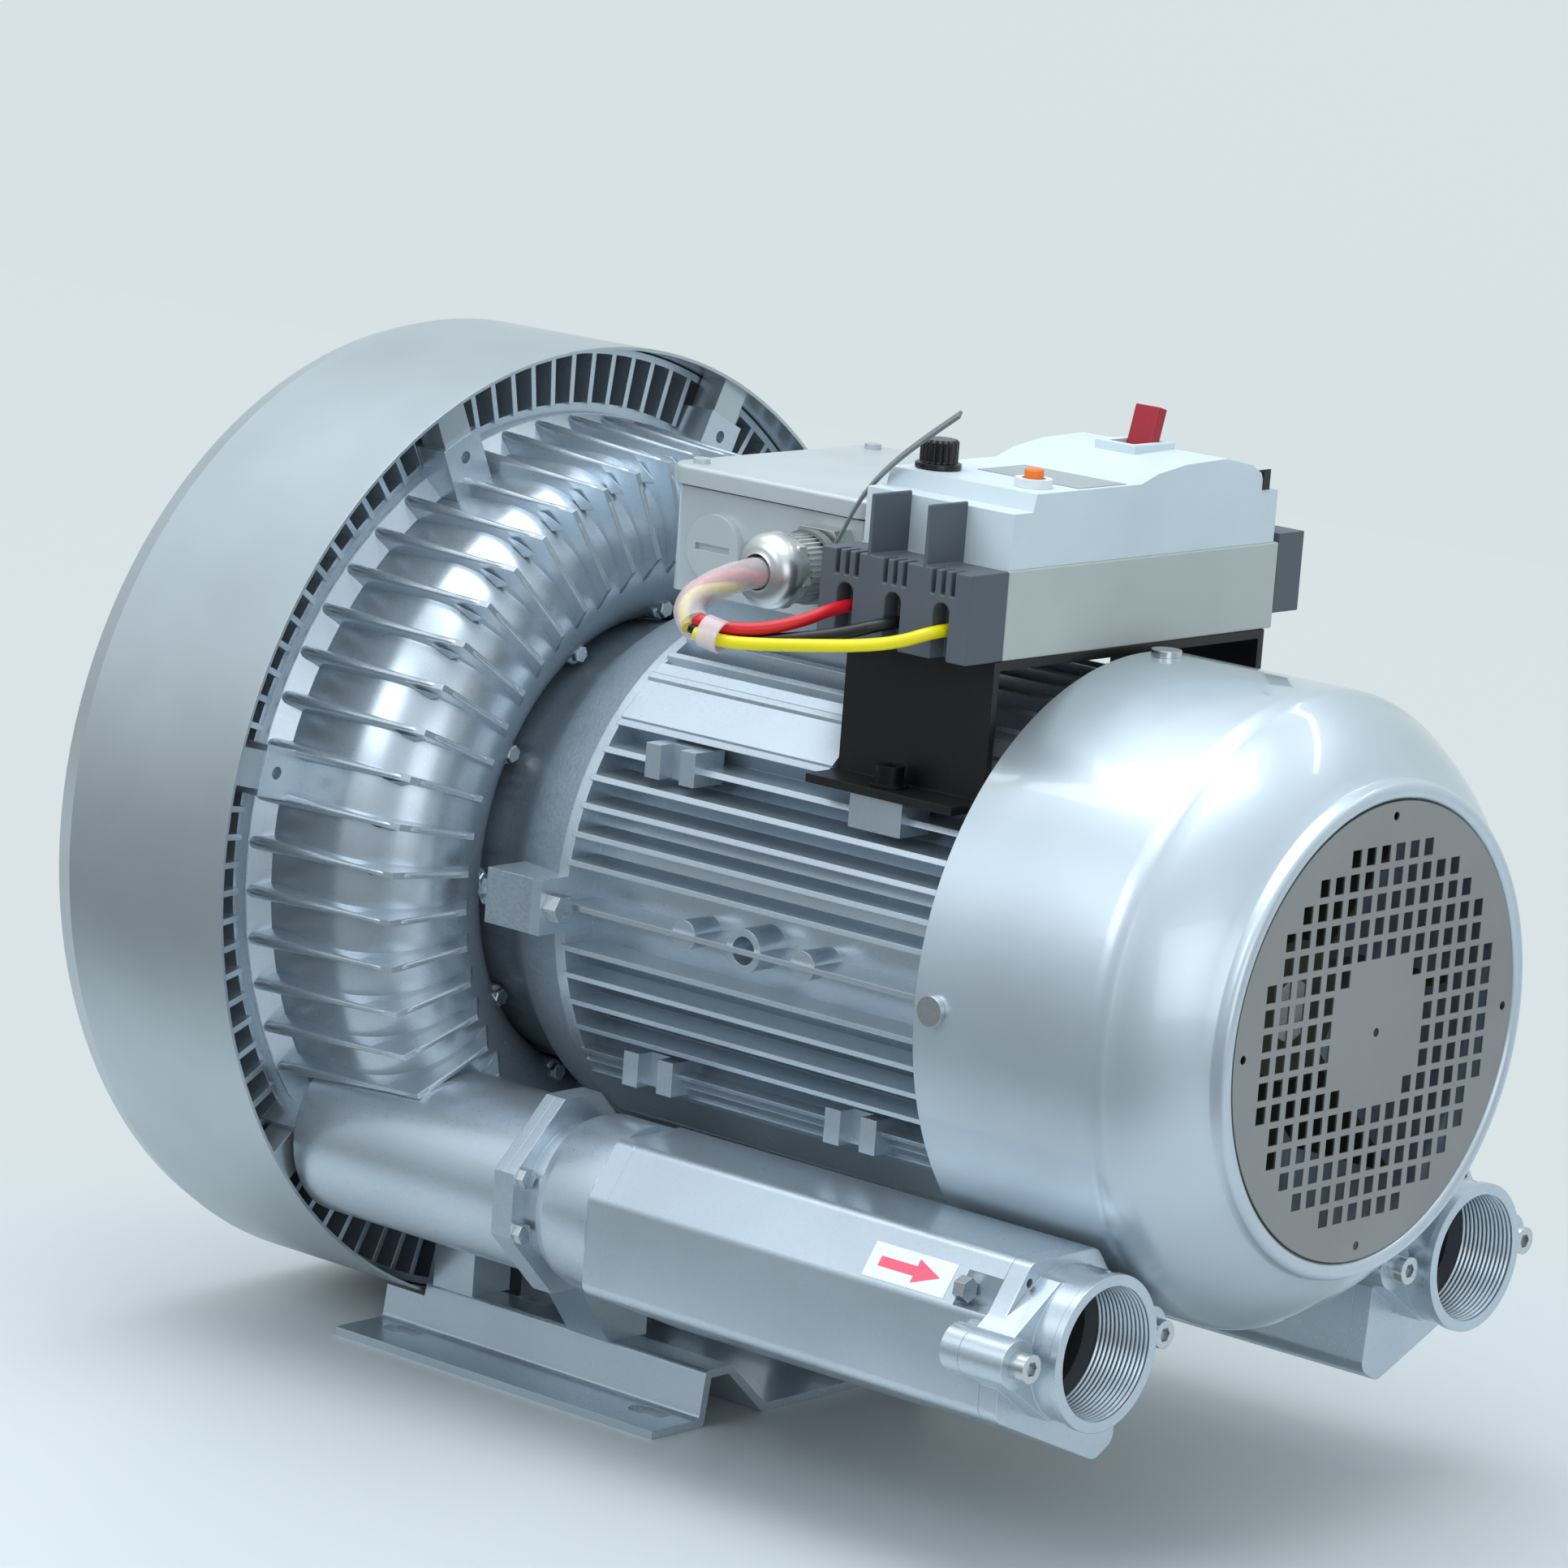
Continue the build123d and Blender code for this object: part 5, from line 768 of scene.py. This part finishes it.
class OBJECT_OT_blower_wires(bpy.types.Operator):
    """Lay the three wires, their spiral wrap and its end band"""

    bl_idname = "object.blower_wires"
    bl_label = "Wires"

    def execute(self, context):
        wire_radius, core_radius, lay_radius, lay_length = 2.9 * MM, 2.8 * MM, 3.3 * MM, 70 * MM
        for colour, route in wire_routes.items():
            line = smooth_path(route, colour + "_line")
            mesh = swept(colour + "_wire", line, lambda travelled: ring_of(wire_radius))
            add_piece(colour + "_wire", mesh, colour + "_wire", "wire_" + colour, replace=True)
        line = divided(smooth_path(sleeve_route, "sleeve_line"), 0.5 * MM)
        # The three wires inside the wrap, laid with a slow twist
        for number, colour in enumerate(wire_routes):
            turn = 2 * math.pi * number / 3

            def inner(travelled, turn=turn):
                lay = turn + travelled / lay_length * 2 * math.pi
                a, b = lay_radius * math.cos(lay), lay_radius * math.sin(lay)
                return [(a + x, b + y) for x, y in ring_of(core_radius, 16)]

            mesh = swept(colour + "_core", line, inner)
            add_piece(colour + "_core", mesh, colour + "_wire", "wire_" + colour)
        # The wrap's turns overlap like scales: each rises over a short step, then sinks towards the next
        wrap_pitch, wrap_radius, overlap, rise, steps = 12 * MM, 6.5, 0.7, 0.08, 48

        def wrap(travelled):
            outline = []
            for k in range(steps):
                turn = 2 * math.pi * k / steps
                phase = (travelled / wrap_pitch - k / steps) % 1.0
                radius = (wrap_radius + overlap * min(phase / rise, 1.0) * (1 - 0.6 * phase)) * MM
                outline.append((radius * math.cos(turn), radius * math.sin(turn)))
            return outline

        add_piece("spiral_wrap", swept("spiral_wrap", line, wrap), "clear_wrap", "wire_sleeve", replace=True)
        # The band holds the three wires where they leave the wrap
        middle = [sum((at(*route[k]) for route in wire_routes.values()), Vector()) / 3 for k in (0, 1)]
        along = (middle[1] - middle[0]).normalized()
        start = middle[0] + along * 5.5 * MM
        band = turned("wrap_band", [(0, 6.5), (0, 7.2), (0.4, 7.5), (9.6, 7.5), (10, 7.2), (10, 6.5)], start,
                      along, 48)
        add_piece("wrap_band", band, "clear_wrap", "wire_band", replace=True)
        return {"FINISHED"}


class OBJECT_OT_blower_tie(bpy.types.Operator):
    """Fit the cable tie on the gland, with its uncut tail"""

    bl_idname = "object.blower_tie"
    bl_label = "Cable tie"

    def execute(self, context):
        loop = turned("tie_loop", [(80, 15.4), (80, 17), (84.6, 17), (84.6, 15.4)],
                      at(*GLAND_PLACE), GLAND_WAY, 64)
        add_piece("tie_loop", loop, "tie_plastic", "gland_nut")
        tail = smooth_path(((219.5, -82.3, 178), (222.4, -81.5, 183), (229, -80, 198), (237.3, -80, 209.5),
                            (250, -80, 222), (266.1, -80, 234.7), (284.9, -80, 248.1)), "tail_line")
        strap = [(-0.7, -2.2), (0.7, -2.2), (0.7, 2.2), (-0.7, 2.2)]
        mesh = swept("tie_tail", tail, lambda travelled: [(a * MM, b * MM) for a, b in strap], 25)
        add_piece("tie_tail", mesh, "tie_plastic", "gland_nut")
        return {"FINISHED"}


class OBJECT_OT_blower_starter(bpy.types.Operator):
    """Mould the starter: rounded cover, tray, blocks, fluted knob and handle"""

    bl_idname = "object.blower_starter"
    bl_label = "Motor starter"

    def execute(self, context):
        softened("starter_cover", "starter_cover_shell", "light_plastic", 1.6)
        softened("starter_base", "starter_tray", "tray_plastic", 0.8)
        softened("output_block", "output_block_moulding", "grey_plastic", 0.8)
        softened("input_block", "input_block_moulding", "grey_plastic", 0.8)
        softened("handle", "handle_moulding", "red_plastic", 1.3)
        knob_axis, button_axis = at(258.5, -60, 0), at(313, -60, 0)
        work = bmesh.new()
        turn_profile(work, [(219.2, 0), (219.2, 10.2), (219.8, 10.6), (221.6, 10.4), (222.4, 8.4), (222.4, 0)],
                     knob_axis, UPWARDS, 48)
        # Flutes round a cylinder, then a broken edge and the flat top
        flutes, flute_radius, flute_depth = 18, 7.7, 1.1
        around = flutes * 6
        for low, high, shrink in ((222, 231.2, 0.0), (231.2, 232.3, 1.0)):
            rings = []
            for height, cut in ((low, 0.0), (high, shrink)):
                ring = []
                for k in range(around):
                    turn = 2 * math.pi * k / around
                    wave = abs(math.sin(turn * flutes / 2)) ** 0.6
                    radius = (flute_radius + flute_depth * wave - cut) * MM
                    place = Vector((radius * math.cos(turn), radius * math.sin(turn), height * MM))
                    ring.append(work.verts.new(knob_axis + place))
                rings.append(ring)
            join_rings(work, rings)
            if shrink:
                work.faces.new(rings[1])
        add_piece("knob_fluted", mesh_from("knob_fluted", work, 30), "black_plastic", "current_knob", replace=True)
        cap = turned("button_cap", [(219.3, 0), (219.3, 4.4), (226.3, 4.4), (227, 3.9), (227.3, 3), (227.3, 0)],
                     button_axis, UPWARDS, 32)
        add_piece("button_cap", cap, "orange_plastic", "test_button", replace=True)
        tab = bmesh.new()
        prism(tab, [Vector((0, 0, 0)), Vector((4 * MM, 0, 0)), Vector((4 * MM, 0, 9.5 * MM)),
                    Vector((0, 0, 8.5 * MM))], at(325, 88.5, 211), Vector((0, 5 * MM, 0)))
        add_piece("release_tab", mesh_from("release_tab", tab), "black_plastic", "starter_cover")
        plate = bmesh.new()
        prism(plate, [Vector((0, 0, 0)), Vector((58 * MM, 0, 0)), Vector((58 * MM, 34 * MM, 0)),
                      Vector((0, 34 * MM, 0))], at(268, -44, 219), Vector((0, 0, 0.25 * MM)))
        add_piece("blank_plate", mesh_from("blank_plate", plate), "sticker_grey", "starter_cover")
        return {"FINISHED"}


class OBJECT_OT_blower_ports(bpy.types.Operator):
    """Cut the ports' pipe threads and punch the inner tubes"""

    bl_idname = "object.blower_ports"
    bl_label = "Ports"

    def execute(self, context):
        pitch = context.scene.blower_sizes.thread_pitch / MM
        ridges, mouth_x, bore = 12, 452, 30.2
        for port, side in (("outlet", -1), ("inlet", 1)):
            centre = at(0, side * 137, -130)
            work = bmesh.new()
            for k in range(ridges):
                x = mouth_x - pitch * (k + 1)
                ridge = [(x, bore), (x + 0.2, 29.75), (x + 1.1, 29.2), (x + 2.0, 29.75), (x + 2.2, bore)]
                turn_profile(work, ridge, centre, ALONG_SHAFT, 72)
            add_piece(port + "_thread", mesh_from(port + "_thread", work, 60), "cast_silver", port + "_flange")
            # The punched tube as a bare sheet: of each three cells both ways, two by two are a hole
            work = bmesh.new()
            columns, rows, first_x, length = 66, 60, 297.5, 120.0
            circle = ring_of(bore * MM, columns)
            grid = [[work.verts.new(centre + Vector(((first_x + length * row / rows) * MM, across, up)))
                     for across, up in circle] for row in range(rows + 1)]
            for row in range(rows):
                for col in range(columns):
                    if row % 3 and col % 3:
                        continue
                    n = (col + 1) % columns
                    work.faces.new((grid[row][col], grid[row][n], grid[row + 1][n], grid[row + 1][col]))
            mesh = bpy.data.meshes.new(port + "_punched_tube")
            work.to_mesh(mesh)
            work.free()
            shade(mesh, 50)
            add_piece(port + "_punched_tube", mesh, "zinc", port + "_tube")
        return {"FINISHED"}


class OBJECT_OT_blower_marks(bpy.types.Operator):
    """Stick the plain flow arrow on the outlet silencer"""

    bl_idname = "object.blower_marks"
    bl_label = "Flow arrow"

    def execute(self, context):
        # The silencer's upper slope from its lower edge to its upper one, and the way it faces
        low, high = Vector((0, -177, -116)), Vector((0, -160, -92))
        up = (high - low).normalized()
        out = Vector((0, -24, 17)).normalized()
        along = Vector((1, 0, 0))
        middle = low.lerp(high, 0.36)

        def spot(a, b, lift):
            place = middle + along * a + up * b + out * lift
            return at(place.x, place.y, place.z)

        white = bmesh.new()
        white.faces.new([white.verts.new(spot(a, b, 0.12)) for a, b in
                         ((346, -8), (392, -8), (392, 8.5), (346, 8.5))])
        add_piece("arrow_sticker", mesh_from("arrow_sticker", white), "sticker_white", "outlet_silencer")
        red = bmesh.new()
        red.faces.new([red.verts.new(spot(a, b, 0.2)) for a, b in
                       ((352, -2.2), (372, -2.2), (372, -5.5), (386, 0.2), (372, 6), (372, 2.6), (352, 2.6))])
        add_piece("flow_arrow", mesh_from("flow_arrow", red), "sticker_red", "outlet_silencer")
        return {"FINISHED"}


def area_light(name, place, target, width, depth, power, colour):
    """A rectangular lamp of this size in metres and power in watts, turned to its target."""
    data = bpy.data.lights.new(name, "AREA")
    data.shape = "RECTANGLE"
    data.size, data.size_y = width, depth
    data.energy = power
    data.color = srgb(colour)[:3]
    lamp = new_object(name, data)
    lamp.location = place
    lamp.rotation_mode = "QUATERNION"
    lamp.rotation_quaternion = (Vector(target) - Vector(place)).to_track_quat("-Z", "Y")


def stage_plane(name, corners, colour, roughness):
    """A flat of the studio and its paint, with the shader that its lit colour comes from."""
    mesh = bpy.data.meshes.new(name)
    mesh.from_pydata(corners, [], [(0, 1, 2, 3)])
    piece = new_object(name, mesh)
    material = bpy.data.materials.new(name + "_paint")
    material.use_nodes = True
    shader = material.node_tree.nodes["Principled BSDF"]
    shader.inputs["Base Color"].default_value = (*colour, 1)
    shader.inputs["Roughness"].default_value = roughness
    mesh.materials.append(material)
    return material.node_tree, shader


def shown_plain(tree, shader, colour, share):
    """Lets camera and mirror rays see a plain colour on a share of the flat, given by a socket or a number."""
    ray = add_node(tree, "ShaderNodeLightPath")
    seen = combined(tree, "MAXIMUM", ray.outputs["Is Camera Ray"], ray.outputs["Is Glossy Ray"])
    seen = combined(tree, "MAXIMUM", seen, ray.outputs["Is Transmission Ray"])
    part = add_node(tree, "ShaderNodeMath", {"operation": "MULTIPLY"}, {0: seen})
    if isinstance(share, float):
        part.inputs[1].default_value = share
    else:
        tree.links.new(share, part.inputs[1])
    glow = add_node(tree, "ShaderNodeEmission", Color=(*colour, 1), Strength=1.0)
    mix = add_node(tree, "ShaderNodeMixShader",
                   links={"Fac": part.outputs["Value"], 1: shader.outputs["BSDF"], 2: glow.outputs["Emission"]})
    tree.links.new(mix.outputs["Shader"], tree.nodes["Material Output"].inputs["Surface"])


def painted_dim_reflection(tree, shader, colour):
    """Towards the table's near edge the floor turns dark in mirror rays: a painted reflection of the dim room below
    the table.
    """
    coordinates = add_node(tree, "ShaderNodeTexCoord").outputs["Object"]
    place = add_node(tree, "ShaderNodeSeparateXYZ", links={"Vector": coordinates})
    near = remapped(tree, place.outputs["Y"], -0.5, -0.25, 1.0, 0.0)
    ray = add_node(tree, "ShaderNodeLightPath")
    part = combined(tree, "MULTIPLY", near, ray.outputs["Is Glossy Ray"])
    # Painted reflection: mirror rays see this dark grey in place of the floor's own colour near its near edge,
    # standing in for shade
    blend = add_node(tree, "ShaderNodeMix", {"data_type": "RGBA"}, {"Factor": part})
    for socket in blend.inputs:
        if socket.type == "RGBA":
            socket.default_value = (*colour, 1) if socket.name == "A" else srgb("#5A5F60")
    tree.links.new(next(o for o in blend.outputs if o.type == "RGBA"), shader.inputs["Base Color"])


class OBJECT_OT_blower_stage(bpy.types.Operator):
    """Table, wall, lamps and the camera at the photograph's angle"""

    bl_idname = "object.blower_stage"
    bl_label = "Stage"

    def execute(self, context):
        scene = context.scene
        looks = scene.blower_stage
        tree, shader = stage_plane("table", [(-4, -4, 0), (4, -4, 0), (4, 2.6, 0), (-4, 2.6, 0)],
                                   looks.floor_colour, 0.42)
        # The far floor turns softly into the wall's colour, where the photograph's table ends
        place = add_node(tree, "ShaderNodeTexCoord").outputs["Object"]
        along = add_node(tree, "ShaderNodeVectorMath", {"operation": "DOT_PRODUCT"}, {0: place})
        along.inputs[1].default_value = (-0.717, 0.697, 0)
        share = remapped(tree, along.outputs["Value"], 0.14, 0.34, 0.0, 0.95, interpolation_type="SMOOTHSTEP")
        # The floor's near part is painted dark for mirror rays: a painted reflection of the shaded room below the
        # table
        painted_dim_reflection(tree, shader, looks.floor_colour)
        shown_plain(tree, shader, looks.wall_colour, share)
        tree, shader = stage_plane("backdrop", [(-9, 3.2, -3), (6, 3.2, -3), (6, 3.2, 5), (-9, 3.2, 5)],
                                   looks.wall_colour, 0.9)
        shown_plain(tree, shader, looks.wall_colour, 0.95)
        world = bpy.data.worlds.new("studio")
        scene.world = world
        world.use_nodes = True
        sky = world.node_tree
        # A white room: its ceiling is brighter than its walls, and what lies low is dim
        way = add_node(sky, "ShaderNodeSeparateXYZ",
                       links={"Vector": add_node(sky, "ShaderNodeTexCoord").outputs["Generated"]})
        level = remapped(sky, way.outputs["Z"], -0.15, 0.7, 0.38, 1.1)
        sky.nodes["Background"].inputs["Color"].default_value = srgb("#E3ECF2")
        ray = add_node(sky, "ShaderNodeLightPath")
        shown = add_node(sky, "ShaderNodeMix", links={"Factor": ray.outputs["Is Camera Ray"],
                                                      "A": level}, B=0.8)
        sky.links.new(shown.outputs["Result"], sky.nodes["Background"].inputs["Strength"])
        for lamp in (
            ("ceiling_lamp", (0.0, -0.3, 2.6), (0.1, 0, 0.25), 2.6, 2.0, 40, "#F8FBFF"),
            ("strip_lamp", (0.9, 1.6, 2.6), (0.2, 0, 0.3), 1.6, 0.1, 3, "#FFFFFF"),
            ("window_lamp", (-0.6, -2.6, 1.9), (0.1, 0, 0.25), 1.8, 1.2, 16, "#F2F7FF"),
            ("room_lamp", (2.9, -1.9, 1.0), (0.2, 0, 0.25), 1.8, 1.6, 12, "#F8FBFF"),
        ):
            area_light(*lamp)
        level_reach = math.cos(CAMERA_ELEVATION)
        back = Vector((math.sin(CAMERA_AZIMUTH) * level_reach, -math.cos(CAMERA_AZIMUTH) * level_reach,
                       math.sin(CAMERA_ELEVATION)))
        data = bpy.data.cameras.new("camera")
        data.sensor_width = 36
        data.lens = data.sensor_width * FOCAL_PIXELS / PHOTO_PIXELS
        camera = new_object("camera", data)
        camera.rotation_mode = "QUATERNION"
        camera.location = CAMERA_PLACE
        turned_to = (-back).to_track_quat("-Z", "Y").to_matrix() @ Matrix.Rotation(CAMERA_ROLL, 3, "Z")
        camera.rotation_quaternion = turned_to.to_quaternion()
        data.clip_start, data.clip_end = 0.05, 40
        scene.camera = camera
        scene.view_settings.view_transform = "Standard"
        return {"FINISHED"}


class VIEW3D_PT_blower(bpy.types.Panel):
    """Lists the blower's operators"""

    bl_idname = "VIEW3D_PT_blower"
    bl_label = "Side Channel Blower"
    bl_space_type = "VIEW_3D"
    bl_region_type = "UI"
    bl_category = "Blower"

    def draw(self, context):
        for operator in operators:
            self.layout.operator(operator.bl_idname)


operators = (
    OBJECT_OT_blower_surfaces,
    OBJECT_OT_blower_torus,
    OBJECT_OT_blower_fins,
    OBJECT_OT_blower_web_bolts,
    OBJECT_OT_blower_ducts,
    OBJECT_OT_blower_cowl,
    OBJECT_OT_blower_gland,
    OBJECT_OT_blower_wires,
    OBJECT_OT_blower_tie,
    OBJECT_OT_blower_starter,
    OBJECT_OT_blower_ports,
    OBJECT_OT_blower_marks,
    OBJECT_OT_blower_stage,
)
classes = (BlowerSizes, BlowerStage) + operators + (VIEW3D_PT_blower,)


def register():
    for cls in classes:
        bpy.utils.register_class(cls)
    bpy.types.Scene.blower_sizes = PointerProperty(type=BlowerSizes)
    bpy.types.Scene.blower_stage = PointerProperty(type=BlowerStage)


def unregister():
    del bpy.types.Scene.blower_stage
    del bpy.types.Scene.blower_sizes
    for cls in reversed(classes):
        bpy.utils.unregister_class(cls)


def main():
    register()
    for operator in operators:
        group, call = operator.bl_idname.split(".")
        getattr(getattr(bpy.ops, group), call)()


if __name__ == "__main__":
    main()
